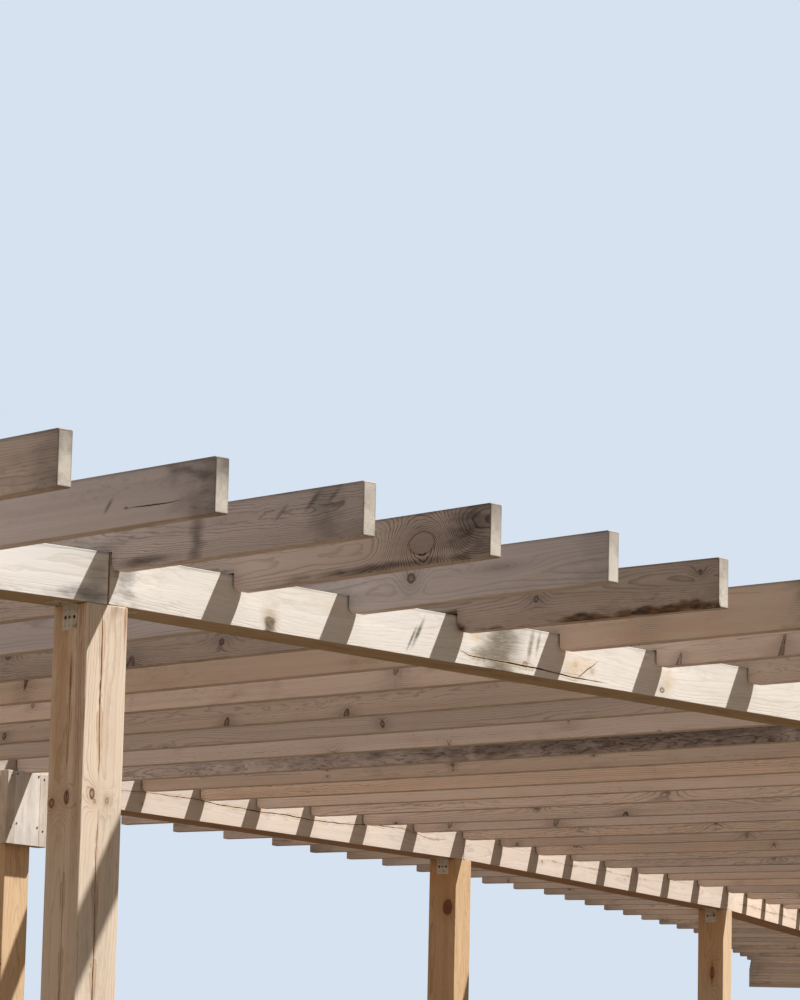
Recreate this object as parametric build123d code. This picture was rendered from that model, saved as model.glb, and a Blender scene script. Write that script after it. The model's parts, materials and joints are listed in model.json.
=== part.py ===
from build123d import *
import os
from math import cos, degrees, radians, sin

# A timber pergola that stands in an arc. Two lines of square posts carry straight beam
# lengths, which meet at a slight kink over every post, and fanned rafters on edge lie
# across both lines, notched down over the beams.
# Millimetres, Z up. The origin is on the ground under the middle of the outer box.
# The run lies along X, and its hollow (inner) side faces +Y.

# Plan
BAYS = 7
RAFTERS_PER_BAY = 8
BAY_TURN = 7.55                 # degrees from one post to the next
OUTER_LINE_RADIUS = 28300.0     # ring centre to the kinks in the outer beams' front faces
LINE_SPACING = 4125.0           # front face of the outer line to front face of the inner
OUTER_LINE_SHIFT = 24.0         # outer posts and joints stand this far left of their rafters

# Posts
POST_SIZE = 140.0
POST_HEIGHT = 3000.0

# Beams
BEAM_WIDTH = 140.0
BEAM_DEPTH = 140.0

# Rafters
RAFTER_THICKNESS = 45.0
RAFTER_DEPTH = 140.0
NOTCH_DEPTH = 50.0
NOTCH_ROUNDING = 18.0           # rounded lower corners at the mouth of a notch
OUTER_OVERHANG = 975.0          # past the outer beams' front face
INNER_OVERHANG = 895.0          # past the inner beams' back face

# Angle brackets between posts and beams
BRACKET_LEG = 70.0
BRACKET_WIDTH = 60.0
BRACKET_GAUGE = 2.5
BRACKET_BEND = 4.0              # inside radius of the bend
BRACKET_HOLE = 11.0
HOLE_FROM_HEEL = 36.0           # outside corner of the bend to the hole centres
HOLE_SPACING = 36.0             # between the two holes of a leg

# Boards screwed over the beam joint on one inner post
HEAD_BOARD_POST = 3             # counted from the left end of the run
HEAD_BOARD_WIDTH = 140.0
HEAD_BOARD_THICKNESS = 45.0
HEAD_BOARD_DROP = 200.0         # below the underside of the beams
HEAD_BATTEN_WIDTH = 45.0

# Worked out from the sizes above
HALF_BAY = radians(BAY_TURN / 2)
HALF_RUN = radians(BAYS * BAY_TURN / 2)
INNER_LINE_RADIUS = OUTER_LINE_RADIUS - LINE_SPACING
BEAM_TOP = POST_HEIGHT + BEAM_DEPTH
RAFTER_BOTTOM = BEAM_TOP - NOTCH_DEPTH
UP = (0, 0, 1)


def face_distance(line_radius, setback, off_middle):
    """Distance from the ring centre to a straight beam face, seen off the bay's middle."""
    return (line_radius * cos(HALF_BAY) - setback) / cos(off_middle)


def tip_radius(off_middle):
    """Distance from the ring centre to the outer end of a rafter."""
    return face_distance(OUTER_LINE_RADIUS, 0, off_middle) + OUTER_OVERHANG


def heel_radius(off_middle):
    """Distance from the ring centre to the inner end of a rafter."""
    return face_distance(INNER_LINE_RADIUS, BEAM_WIDTH, off_middle) - INNER_OVERHANG


def off_bay_middle(step):
    """Angle between a rafter and the middle of its bay; step 0 lies over a post."""
    return (step / RAFTERS_PER_BAY - 0.5) * 2 * HALF_BAY


# The outermost rafter tip and the inner heels of the end rafters set the box's depth.
MIDDLE_STEP = BAYS * RAFTERS_PER_BAY // 2 % RAFTERS_PER_BAY
FRONT_REACH = tip_radius(off_bay_middle(MIDDLE_STEP))
BACK_REACH = heel_radius(HALF_BAY) * cos(HALF_RUN) - RAFTER_THICKNESS / 2 * sin(HALF_RUN)
RING_CENTRE = Pos(0, (FRONT_REACH + BACK_REACH) / 2, 0)


def on_the_ring(shape, turn):
    """Turn a shape about the ring centre, from the middle of the run, and set it in place."""
    return RING_CENTRE * Rot(0, 0, turn) * shape


def post_turn(number):
    """Turn in degrees of the rafter over a post, which is counted from 1 at the left end."""
    return (number - 1 - BAYS / 2) * BAY_TURN


def line_turn(line_radius, number):
    """Turn in degrees of a post on either line, and of the beam joint over it."""
    shift = OUTER_LINE_SHIFT if line_radius == OUTER_LINE_RADIUS else 0.0
    return post_turn(number) - degrees(shift / line_radius)


def ring_point(radius, turn):
    """Plan point about the ring centre, at a turn in degrees from the middle of the run."""
    return (radius * sin(radians(turn)), -radius * cos(radians(turn)))


def beam_outline(line_radius, first, last):
    """Plan of one beam between two posts: mitred over a post, square past an end post."""
    back_radius = line_radius - BEAM_WIDTH / cos(HALF_BAY)
    left, right = line_turn(line_radius, first), line_turn(line_radius, last)
    front = [Vector(*ring_point(line_radius, left)), Vector(*ring_point(line_radius, right))]
    back = [Vector(*ring_point(back_radius, left)), Vector(*ring_point(back_radius, right))]
    along = (front[1] - front[0]).normalized()
    past_post = along * (POST_SIZE / 2 / cos(HALF_BAY))
    if first == 1:
        front[0] -= past_post
        back[0] -= past_post
    if last == BAYS + 1:
        front[1] += past_post
        back[1] += past_post
    return [front[0], front[1], back[1], back[0]]


def make_beam(line_radius, number):
    """Straight beam length over one bay."""
    outline = make_face(Polyline(*beam_outline(line_radius, number, number + 1), close=True))
    return RING_CENTRE * Pos(0, 0, POST_HEIGHT) * extrude(outline, BEAM_DEPTH, dir=UP)


def make_post(line_radius, number):
    """Square post, its front face level with the kink in the beams' front faces."""
    post = Box(POST_SIZE, POST_SIZE, POST_HEIGHT, align=(Align.CENTER, Align.MIN, Align.MIN))
    return on_the_ring(Pos(0, -line_radius, 0) * post, line_turn(line_radius, number))


def notch_mouths(rafter):
    """Crosswise edges of the underside, without those of the two ends."""
    underside = rafter.edges().filter_by_position(Axis.Z, RAFTER_BOTTOM, RAFTER_BOTTOM)
    crosswise = underside.filter_by(lambda edge: edge.length < 2 * RAFTER_THICKNESS)
    outwards = sorted(crosswise, key=lambda edge: (edge.center() - RING_CENTRE.position).length)
    return outwards[1:-1]


def make_rafter(bay, step, carriers):
    """Rafter on edge, notched down over the beams that carry it."""
    off_middle = off_bay_middle(step)
    tip, heel = tip_radius(off_middle), heel_radius(off_middle)
    bar = Box(RAFTER_THICKNESS, tip - heel, RAFTER_DEPTH, align=(Align.CENTER, Align.MIN, Align.MIN))
    turn = post_turn(bay) + step / RAFTERS_PER_BAY * BAY_TURN
    rafter = on_the_ring(Pos(0, -tip, RAFTER_BOTTOM) * bar, turn)
    for beam in carriers:
        rafter -= beam
    return fillet(notch_mouths(rafter), NOTCH_ROUNDING)


def make_bracket_pattern():
    """Bent steel angle: its heel on the Y axis, one leg along X and one along -Z."""
    outside = BRACKET_BEND + BRACKET_GAUGE
    outer = RectangleRounded(2 * BRACKET_LEG, 2 * BRACKET_LEG, outside)
    inner_size = 2 * (BRACKET_LEG - BRACKET_GAUGE)
    inner = RectangleRounded(inner_size, inner_size, BRACKET_BEND)
    corner = Rectangle(BRACKET_LEG, BRACKET_LEG, align=(Align.MIN, Align.MAX))
    profile = Pos(BRACKET_LEG, -BRACKET_LEG) * (outer - inner) & corner
    angle = extrude(Plane.XZ * profile, BRACKET_WIDTH / 2, both=True)
    drill = Cylinder(BRACKET_HOLE / 2, 2 * outside)
    for side in (-HOLE_SPACING / 2, HOLE_SPACING / 2):
        angle -= Pos(HOLE_FROM_HEEL, side, 0) * drill
        angle -= Pos(0, side, -HOLE_FROM_HEEL) * Rot(0, 90, 0) * drill
    return angle


def make_brackets(line_radius):
    """Angle brackets of a line, in the corner between each post and each beam that it carries."""
    pattern = make_bracket_pattern()
    facing_right = Pos(POST_SIZE / 2, POST_SIZE / 2 - line_radius, POST_HEIGHT) * pattern
    facing_left = Pos(-POST_SIZE / 2, POST_SIZE / 2 - line_radius, POST_HEIGHT) * Rot(0, 0, 180) * pattern
    turns = [line_turn(line_radius, number) for number in range(1, BAYS + 2)]
    brackets = [on_the_ring(facing_right, turn) for turn in turns[:-1]]
    brackets += [on_the_ring(facing_left, turn) for turn in turns[1:]]
    return Compound(children=brackets)


def make_head_board(centre, width):
    """Upright board in front of the beam joint, reaching up to the underside of the rafter."""
    height = RAFTER_BOTTOM - POST_HEIGHT + HEAD_BOARD_DROP
    board = Box(width, HEAD_BOARD_THICKNESS, height, align=(Align.CENTER, Align.MAX, Align.MIN))
    board = Pos(centre, -INNER_LINE_RADIUS, POST_HEIGHT - HEAD_BOARD_DROP) * board
    return on_the_ring(board, line_turn(INNER_LINE_RADIUS, HEAD_BOARD_POST))


def make_parts():
    """All the pieces by name."""
    parts = {}
    for number in range(1, BAYS + 2):
        parts[f"outer_post_{number}"] = make_post(OUTER_LINE_RADIUS, number)
        parts[f"inner_post_{number}"] = make_post(INNER_LINE_RADIUS, number)
    carriers = {0: []}
    for bay in range(1, BAYS + 1):
        parts[f"outer_beam_{bay}"] = make_beam(OUTER_LINE_RADIUS, bay)
        parts[f"inner_beam_{bay}"] = make_beam(INNER_LINE_RADIUS, bay)
        carriers[bay] = [parts[f"outer_beam_{bay}"], parts[f"inner_beam_{bay}"]]
    for bay in range(1, BAYS + 1):
        over_post = make_rafter(bay, 0, carriers[bay - 1] + carriers[bay])
        between = [make_rafter(bay, step, carriers[bay]) for step in range(1, RAFTERS_PER_BAY)]
        parts[f"rafters_bay_{bay}"] = Compound(children=[over_post, *between])
    parts["end_rafter"] = make_rafter(BAYS + 1, 0, carriers[BAYS])
    parts["outer_brackets"] = make_brackets(OUTER_LINE_RADIUS)
    parts["inner_brackets"] = make_brackets(INNER_LINE_RADIUS)
    parts["head_board"] = make_head_board(0, HEAD_BOARD_WIDTH)
    batten_centre = (HEAD_BOARD_WIDTH + HEAD_BATTEN_WIDTH) / 2
    parts["head_batten_left"] = make_head_board(-batten_centre, HEAD_BATTEN_WIDTH)
    parts["head_batten_right"] = make_head_board(batten_centre, HEAD_BATTEN_WIDTH)
    return parts


os.makedirs("parts", exist_ok=True)
for name, shape in make_parts().items():
    export_step(shape, f"parts/{name}.step")
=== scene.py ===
import json
import logging
from dataclasses import dataclass, field, replace
from enum import Enum, IntEnum
from math import atan2, cos, pi, radians, sin, tan
from random import Random
from typing import Any, Callable, Sequence

import bmesh
import bpy
import numpy as np
from mathutils import Matrix, Vector

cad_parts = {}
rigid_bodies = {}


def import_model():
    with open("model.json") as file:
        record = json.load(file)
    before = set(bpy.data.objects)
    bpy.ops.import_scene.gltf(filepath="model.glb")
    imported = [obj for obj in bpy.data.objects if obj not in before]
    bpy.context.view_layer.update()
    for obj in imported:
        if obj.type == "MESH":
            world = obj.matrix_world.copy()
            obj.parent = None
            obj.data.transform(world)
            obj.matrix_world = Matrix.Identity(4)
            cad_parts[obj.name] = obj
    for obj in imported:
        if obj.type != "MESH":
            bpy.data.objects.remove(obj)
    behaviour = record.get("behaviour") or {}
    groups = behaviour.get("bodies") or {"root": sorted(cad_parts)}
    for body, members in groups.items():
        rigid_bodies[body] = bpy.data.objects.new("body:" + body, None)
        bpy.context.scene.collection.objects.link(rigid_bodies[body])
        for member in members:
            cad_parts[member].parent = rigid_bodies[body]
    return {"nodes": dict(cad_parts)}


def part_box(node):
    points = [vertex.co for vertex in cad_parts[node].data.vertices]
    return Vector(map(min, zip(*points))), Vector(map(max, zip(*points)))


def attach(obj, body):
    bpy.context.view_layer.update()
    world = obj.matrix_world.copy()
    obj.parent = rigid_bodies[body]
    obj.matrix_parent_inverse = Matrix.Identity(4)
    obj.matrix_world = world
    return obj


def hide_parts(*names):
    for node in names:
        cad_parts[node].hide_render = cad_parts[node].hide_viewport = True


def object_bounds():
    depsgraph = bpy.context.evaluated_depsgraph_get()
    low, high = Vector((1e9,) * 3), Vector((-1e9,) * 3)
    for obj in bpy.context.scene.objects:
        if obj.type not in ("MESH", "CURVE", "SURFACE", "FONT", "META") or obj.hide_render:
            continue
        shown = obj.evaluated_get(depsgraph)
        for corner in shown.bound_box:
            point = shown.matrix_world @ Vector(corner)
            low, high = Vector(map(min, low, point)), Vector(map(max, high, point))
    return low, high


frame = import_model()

# A curved timber pergola: two lines of square posts, straight beam lengths that meet at a
# slight kink over every post, and fanned rafters on edge that are notched down over them.
# Metres, Z up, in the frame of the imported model.
CAD_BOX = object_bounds()
NODES = frame["nodes"]
LOG = logging.getLogger("pergola")

Colour = tuple[float, float, float, float]
Triple = tuple[float, float, float]
NONE: Triple = (0.0, 0.0, 0.0)
UP = Vector((0, 0, 1))


def paint(red: int, green: int, blue: int) -> Colour:
    """Turn a colour as seen on a screen into the linear values that a shader takes.

    Args:
        red: Red, from 0 to 255.
        green: Green, from 0 to 255.
        blue: Blue, from 0 to 255.

    Returns:
        Linear red, green, blue and an alpha of one.
    """
    shares = (value / 255 for value in (red, green, blue))
    return (*(share / 12.92 if share <= 0.04045 else ((share + 0.055) / 1.055) ** 2.4
              for share in shares), 1.0)


def math_node(operation: str, turned: bool = False) -> Callable[..., "Wire"]:
    """A method of a wire that adds a Math node.

    Args:
        operation: What the node works out.
        turned: Whether the wire is the second value, as where a number stands on its left.

    Returns:
        The method.
    """
    def method(wire: "Wire", *others: "Wire | float") -> "Wire":
        """Result of the node."""
        values = (*others, wire) if turned else (wire, *others)
        return wire.sheet.math(operation, *values)
    return method


class Wire:
    """An output socket of a node, on which Python's operators add Math nodes."""

    __add__ = math_node("ADD")
    __radd__ = math_node("ADD", turned=True)
    __sub__ = math_node("SUBTRACT")
    __rsub__ = math_node("SUBTRACT", turned=True)
    __mul__ = math_node("MULTIPLY")
    __rmul__ = math_node("MULTIPLY", turned=True)
    __truediv__ = math_node("DIVIDE")
    __gt__ = math_node("GREATER_THAN")
    __abs__ = math_node("ABSOLUTE")
    floor = math_node("FLOOR")
    larger = math_node("MAXIMUM")
    smaller = math_node("MINIMUM")

    def __init__(self, sheet: "Sheet", socket: bpy.types.NodeSocket) -> None:
        """Keep the socket and the sheet that it is on."""
        self.sheet = sheet
        self.socket = socket

    def clipped(self) -> "Wire":
        """Held between zero and one."""
        return self.larger(0.0).smaller(1.0)

    def bell(self) -> "Wire":
        """A bell curve: one at zero, and soon nothing either way."""
        return self.sheet.math("EXPONENT", self * self * -1.0)

    def step(self, start: float, end: float) -> "Wire":
        """Rise smoothly from zero at start to one at end, or fall where end is lower.

        Args:
            start: Value where the step begins.
            end: Value where it is done.

        Returns:
            The step, from zero to one.
        """
        low, high = min(start, end), max(start, end)
        rising = self.sheet.add("ShaderNodeMapRange", {"interpolation_type": "SMOOTHSTEP"},
                                {"Value": self, "From Min": low, "From Max": high})
        return rising if start < end else 1.0 - rising

    def parts(self) -> tuple["Wire", "Wire", "Wire"]:
        """The three components of a vector or colour."""
        split = self.sheet.node("ShaderNodeSeparateXYZ", {}, {0: self})
        return tuple(Wire(self.sheet, split.outputs[index]) for index in range(3))


class Sheet:
    """A node tree that is written as expressions."""

    def __init__(self, tree: bpy.types.NodeTree) -> None:
        """Keep the tree, emptied."""
        self.tree = tree
        tree.nodes.clear()

    def node(self, kind: str, settings: dict[str, Any], values: dict[int | str, Any]) -> bpy.types.Node:
        """Add any node.

        Args:
            kind: The node's type.
            settings: Its properties.
            values: Numbers, colours or wires for its inputs, by index or name.

        Returns:
            The node.
        """
        made = self.tree.nodes.new(kind)
        for name, value in settings.items():
            setattr(made, name, value)
        for key, value in values.items():
            if isinstance(value, Wire):
                self.tree.links.new(value.socket, made.inputs[key])
            else:
                made.inputs[key].default_value = value
        return made

    def add(self, kind: str, settings: dict[str, Any], values: dict[int | str, Any],
            output: int | str = 0) -> Wire:
        """Add any node and take one of its outputs, by index or name."""
        return Wire(self, self.node(kind, settings, values).outputs[output])

    def math(self, operation: str, *values: Wire | float) -> Wire:
        """A Math node on one or two values."""
        return self.add("ShaderNodeMath", {"operation": operation}, dict(enumerate(values)))

    def vector(self, *values: Wire | float) -> Wire:
        """A vector from three values."""
        return self.add("ShaderNodeCombineXYZ", {}, dict(enumerate(values)))

    def vector_math(self, operation: str, *values: Wire | Triple, output: int = 0) -> Wire:
        """A Vector Math node on vectors."""
        return self.add("ShaderNodeVectorMath", {"operation": operation}, dict(enumerate(values)), output)

    def scaled(self, vector: Wire, scale: Wire | float) -> Wire:
        """A vector times a value."""
        return self.add("ShaderNodeVectorMath", {"operation": "SCALE"}, {0: vector, "Scale": scale})

    def length(self, *values: Wire | float) -> Wire:
        """Length of a vector that is given by its components."""
        return self.vector_math("LENGTH", self.vector(*values), output=1)

    def mix(self, first: Wire | Colour, second: Wire | Colour, share: Wire | float,
            blend: str = "MIX") -> Wire:
        """Mix two colours.

        Args:
            first: Colour at a share of zero.
            second: Colour at a share of one.
            share: How much of the second.
            blend: Blend type.

        Returns:
            The mixed colour.
        """
        settings = {"data_type": "RGBA", "blend_type": blend, "clamp_factor": True}
        return self.add("ShaderNodeMix", settings, {0: share, 6: first, 7: second}, 2)


class SurfaceSheet(Sheet):
    """The node tree of a material."""

    def __init__(self, name: str) -> None:
        """Make the material and its empty tree."""
        self.material = bpy.data.materials.new(name)
        self.material.use_nodes = True
        super().__init__(self.material.node_tree)

    def attribute(self, name: str, output: str = "Vector") -> Wire:
        """A named attribute of the mesh."""
        return self.add("ShaderNodeAttribute", {"attribute_name": name}, {}, output)

    def place_on_object(self) -> Wire:
        """Coordinates in the pergola's frame."""
        return self.add("ShaderNodeTexCoord", {}, {}, "Object")

    def noise(self, place: Wire, stretch: Triple, detail: float = 2.0, output: str = "Fac") -> Wire:
        """Soft noise.

        Args:
            place: Coordinates in metres.
            stretch: Bumps per metre along each axis.
            detail: Finer layers.
            output: Fac for one value, Color for three.

        Returns:
            Noise with its middle at a half.
        """
        scaled = self.vector_math("MULTIPLY", place, stretch)
        return self.add("ShaderNodeTexNoise", {"noise_dimensions": "3D"},
                        {"Vector": scaled, "Scale": 1.0, "Detail": detail, "Roughness": 0.55}, output)

    def chance(self, *values: Wire | float) -> tuple[Wire, Wire, Wire]:
        """Three random values that stay the same for the same inputs."""
        return self.add("ShaderNodeTexWhiteNoise", {"noise_dimensions": "3D"},
                        {"Vector": self.vector(*values)}, "Color").parts()

    def finish(self, colour: Wire, roughness: Wire | float, height: Wire | None = None,
               relief: float = 0.0005, metallic: float = 0.0, shine: float = 0.3) -> bpy.types.Material:
        """End the tree in a surface.

        Args:
            colour: Base colour.
            roughness: Roughness.
            height: Height that the bump follows, if any.
            relief: Depth of that bump in metres.
            metallic: One for metal.
            shine: Specular level.

        Returns:
            The material.
        """
        values = {"Base Color": colour, "Roughness": roughness, "Metallic": metallic,
                  "Specular IOR Level": shine}
        if height is not None:
            values["Normal"] = self.add("ShaderNodeBump", {}, {"Height": height, "Distance": relief,
                                                               "Strength": 1.0})
        surface = self.add("ShaderNodeBsdfPrincipled", {}, values)
        self.node("ShaderNodeOutputMaterial", {}, {"Surface": surface})
        return self.material


class Side(IntEnum):
    """Faces of a timber, in the order in which a section's outline meets them."""
    UNDER = 0
    PLUS = 1
    OVER = 2
    MINUS = 3


class MarkKind(Enum):
    """What a mark on a timber is."""
    STAIN = "stain"
    KNOT = "knot"
    SLIT = "slit"


@dataclass(frozen=True)
class Mark:
    """A stain, knot or fine slit at a chosen place on one face of a timber.

    Along is measured down the timber's length and off across the face; reach is half its
    size along and across, and lean is how far it slants. Owner is the number of the rafter
    that it is on, where several rafters share a material.
    """
    kind: MarkKind
    side: Side
    along: float
    off: float
    reach: tuple[float, float]
    strength: float = 1.0
    colour: Colour = (0.02, 0.012, 0.008, 1.0)
    ragged: float = 0.5
    lean: float = 0.0
    owner: int | None = None


@dataclass(frozen=True)
class WoodFinish:
    """Weathered softwood, whose grain follows each timber."""
    name: str
    early: Colour
    late: Colour
    knot: Colour
    grey: Colour
    # Underside colour: the wood's unweathered tone with painted reflected light from the ground, lighter
    # and warmer than the sides.
    under: Colour
    end: Colour
    mould: Colour
    gold: Colour = paint(196, 132, 66)
    blotch: Colour = paint(214, 170, 112)
    rust: Colour = paint(122, 70, 32)
    lines: float = 0.55
    blotches: float = 0.3
    rusty: float = 0.7
    streaks: float = 0.28
    under_share: float = 0.8
    under_reach: float = 50.0
    grey_share: float = 0.85
    # Share of grey on the side that faces the sun: weathering, and painted shade that holds down the key
    # light.
    sun_side_grey_shade: float = 0.0
    arris_soil: float = 0.8
    whorl: float = 0.55
    knot_size: float = 0.014
    knot_chance: float = 0.45
    half_across: float = 0.07
    half_up: float = 0.07
    marks: tuple[Mark, ...] = ()

    def build(self) -> bpy.types.Material:
        """Make the material."""
        return WoodSheet(self).build()


class WoodSheet(SurfaceSheet):
    """Writes the node tree of a wood finish."""

    BRANCHES = 5  # branches round the heart in one whorl
    RIM = 0.004  # points this near a face lie on it
    ELSEWHERE = 50.0  # keeps a mark off other faces and rafters
    # Near-black brown painted into crack depths and rafter notches as shade.
    CRACK_SHADE = paint(38, 24, 14)
    BARK = (paint(50, 35, 23), paint(138, 100, 62))

    def __init__(self, wood: WoodFinish) -> None:
        """Read the attributes that every timber's mesh carries."""
        super().__init__(wood.name)
        self.wood = wood
        self.grain = self.attribute("grain")
        self.along, self.across, self.up = self.grain.parts()
        self.seed = self.attribute("seed")
        self.place = self.vector_math("ADD", self.grain, self.seed)
        self.tone, self.damp, self.figure = self.attribute("traits").parts()
        self.tip_soil, self.cast, self.plain = self.attribute("wear").parts()
        self.inset = self.attribute("inset", "Fac")
        self.number = self.attribute("number", "Fac")
        self.sawn = self.attribute("end", "Fac").step(0.4, 0.9)
        self.smear = self.noise(self.place, (6.0, 26.0, 26.0), 3.0)
        self.patch = self.noise(self.place, (1.8, 9.0, 9.0), 3.0)
        self.fibre = self.noise(self.place, (9.0, 330.0, 330.0))
        self.rough = self.noise(self.place, (12.0, 28.0, 28.0), 3.0) - 0.5
        self.waver = self.noise(self.place, (18.0, 3.0, 3.0), 3.0) - 0.5
        self.speck = self.noise(self.place, (28.0, 110.0, 110.0), 3.0)

    def build(self) -> bpy.types.Material:
        """Write the tree.

        Returns:
            The material.
        """
        depth = self.depth_from_heart()
        knots, halo, rings, calm = self.rings(depth)
        lines = self.line_darkness(rings) * (1.0 - calm) * (0.9 + halo * 0.8)
        colour = self.wood_colour(lines, knots, halo)
        colour = self.weather_and_painted_light(colour, lines)
        colour = self.soil(colour, lines)
        for mark in self.wood.marks:
            if mark.kind is MarkKind.STAIN:
                shape = self.mark_reach(mark).step(1.3, 0.1) * mark.strength
                colour = self.mix(colour, mark.colour, shape * (0.45 + self.speck * 0.5 + lines * 0.4))
            elif mark.kind is MarkKind.SLIT:
                colour = self.mix(colour, mark.colour, self.mark_reach(mark).step(1.1, 0.7) * mark.strength)
        colour = self.crack_colour_and_shade(colour)
        height = self.fibre * 0.5 - lines * 0.7 - knots * 0.3
        return self.finish(colour, 0.72 + self.fibre * 0.16, height, 0.0004, shine=0.25)

    def crack_colour_and_shade(self, colour: Wire) -> Wire:
        """Painted shade in the depth of a crack, and in a rafter's notch, between golden flames that open
        along the timber.
        """
        crack = self.attribute("crack", "Fac")
        climb = self.along * 4.6 + self.smear * 0.8 + self.waver
        climb = climb - climb.floor()
        opened = (climb * 1.25).smaller((1.0 - climb) * 5.0)
        edge = 0.25 - opened * 0.21 + (self.speck - 0.5) * 0.05
        flame = (crack - edge).step(-0.03, 0.05) * (0.15 + self.smear * 0.4)
        colour = self.mix(colour, self.wood.gold, flame)
        rim = ((crack - edge) / 0.03).bell() * crack.step(0.01, 0.06)
        colour = self.mix(colour, self.wood.rust, rim * opened * 0.6)
        # Painted shade: the deeper part of a crack, and a rafter's notch, is mixed toward near-black brown.
        depth = crack.step(0.24, 0.6) * (0.7 + self.patch * 0.45).clipped()
        return self.mix(colour, self.CRACK_SHADE, depth)

    def depth_from_heart(self) -> Wire:
        """Distance from the heart of the tree, which wanders along the timber.

        Returns:
            The distance in metres.
        """
        heart_across, heart_up, self.pitch = self.attribute("heart").parts()
        drift_across, drift_up, _ = self.noise(self.place, (0.8, 0.5, 0.5), 1.0, "Color").parts()
        self.from_heart_across = self.across - heart_across + (drift_across - 0.5) * 0.09
        self.from_heart_up = self.up - heart_up + (drift_up - 0.5) * 0.13
        return self.length(0.0, self.from_heart_across, self.from_heart_up)

    def rings(self, depth: Wire) -> tuple[Wire, Wire, Wire, Wire]:
        """Count the year rings at every point, bent round the knots.

        Args:
            depth: Distance from the heart.

        Returns:
            How much of each point is knot, how near a knot it is, the ring count, and how
            far the lines are smoothed away.
        """
        wood = self.wood
        seed_along, seed_branch, _ = self.seed.parts()
        down = self.along / wood.whorl + seed_along
        whorl = down.floor()
        shift, twist, _ = self.chance(whorl, seed_branch, 0.0)
        off_along = (down - whorl - 0.5 - (shift - 0.5) * 0.55) * wood.whorl - depth * 0.25
        turn = self.math("ARCTAN2", self.from_heart_up, self.from_heart_across)
        sector = turn * (self.BRANCHES / (2 * pi)) + twist * float(self.BRANCHES)
        branch = sector.floor()
        lean, luck, bulk = self.chance(whorl, branch, seed_branch)
        off_round = (sector - branch - 0.5 - (lean - 0.5) * 0.3) * depth * (2 * pi / self.BRANCHES)
        size = (0.35 + 0.65 * bulk) * (0.3 + depth * 9.0).smaller(1.0) * wood.knot_size
        there = luck > 1.0 - wood.knot_chance
        near = self.length(off_along, off_round, 0.0) / size
        wide = self.length(off_along / 2.1, off_round, 0.0) / size
        there = there * self.plain.step(0.5, 0.4)
        knots = self.knot_face(near) * there
        halo = (wide / 2.3).bell() * there
        wave = self.noise(self.place, (2.6, 15.0, 15.0)) - 0.5
        ripple = self.noise(self.place, (16.0, 75.0, 75.0)) - 0.5
        flame = self.noise(self.place, (4.0, 20.0, 20.0)) - 0.5
        wild = self.noise(self.place, (1.1, 4.0, 4.0), 1.0).step(0.42, 0.62) * self.figure
        count = depth / self.pitch + wave * (1.2 + 3.4 * self.figure) + ripple * (0.5 + wild * 2.2)
        count = count + flame * wild * 4.5 + halo * 3.0
        burl_along, burl_up, burl_size = self.attribute("burl").parts()
        from_burl = self.length((self.along - burl_along) / 1.5, self.up - burl_up, 0.0)
        burl = from_burl / burl_size.larger(0.001)
        burl = burl + self.rough * 0.35
        has_burl = burl_size > 0.002
        halo = halo.larger((burl / 3.2).bell() * has_burl)
        count = count + (burl / 2.6).bell() * has_burl * 22.0
        calm = burl.step(1.02, 0.9) * has_burl
        knots = knots.larger(burl.step(1.2, 1.0) * (0.6 - calm * 0.38) * has_burl)
        for mark in wood.marks:
            if mark.kind is MarkKind.KNOT:
                reach = self.mark_reach(mark)
                count = count + (reach / 2.8).bell() * 5.0
                knots = knots.larger(self.knot_face(reach) * mark.strength)
                halo = halo.larger((reach / 2.2).bell())
        inner = near * 2.6 + ripple
        return knots, halo, count + (inner - count) * (knots * (1.0 - has_burl)), calm

    @staticmethod
    def knot_face(reach: Wire) -> Wire:
        """How dark a knot is: a dark rim round a paler face."""
        return reach.step(1.22, 0.92) * (0.5 + reach.step(0.35, 0.8) * 0.5)

    def line_darkness(self, rings: Wire) -> Wire:
        """Dark late wood at the end of each ring.

        Args:
            rings: The ring count.

        Returns:
            Darkness from zero to one.
        """
        year = rings.floor()
        within = rings - year
        heavy, _, _ = self.chance(year, 3.0, 1.0)
        band = within.step(0.56, 0.92) - within.step(0.94, 1.0)
        faint = self.noise(self.place, (1.3, 7.0, 7.0), 1.0).step(0.3, 0.75)
        clear = 0.25 + 0.75 * faint.larger(self.figure)
        return band * (0.35 + 0.65 * heavy) * clear * (1.0 - self.plain)

    def wood_colour(self, lines: Wire, knots: Wire, halo: Wire) -> Wire:
        """Colour of the sound wood.

        Args:
            lines: Late wood.
            knots: Knots.
            halo: Nearness of a knot.

        Returns:
            The colour.
        """
        wood = self.wood
        colour = self.mix(wood.early, wood.late, (lines * wood.lines + halo * 0.3).clipped())
        streak = self.noise(self.place, (0.7, 42.0, 42.0))
        broad = self.noise(self.place, (0.9, 5.0, 5.0))
        warm = self.noise(self.place, (3.2, 13.0, 13.0)).step(0.55, 0.74)
        colour = self.mix(colour, wood.blotch, warm * wood.blotches)
        light = 0.74 + streak * wood.streaks + self.fibre * 0.10 + broad * 0.20 + self.tone * 0.17
        red = light * (1.0 + self.cast * 0.06)
        blue = light * (1.0 - self.cast * 0.08)
        colour = self.mix(colour, self.vector(red, light, blue), 1.0, "MULTIPLY")
        core = self.noise(self.place, (60.0, 60.0, 60.0))
        knot = self.mix(wood.knot, wood.late, (lines * 0.5 + core * 0.25).clipped())
        return self.mix(colour, knot, knots * 0.9)

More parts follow.
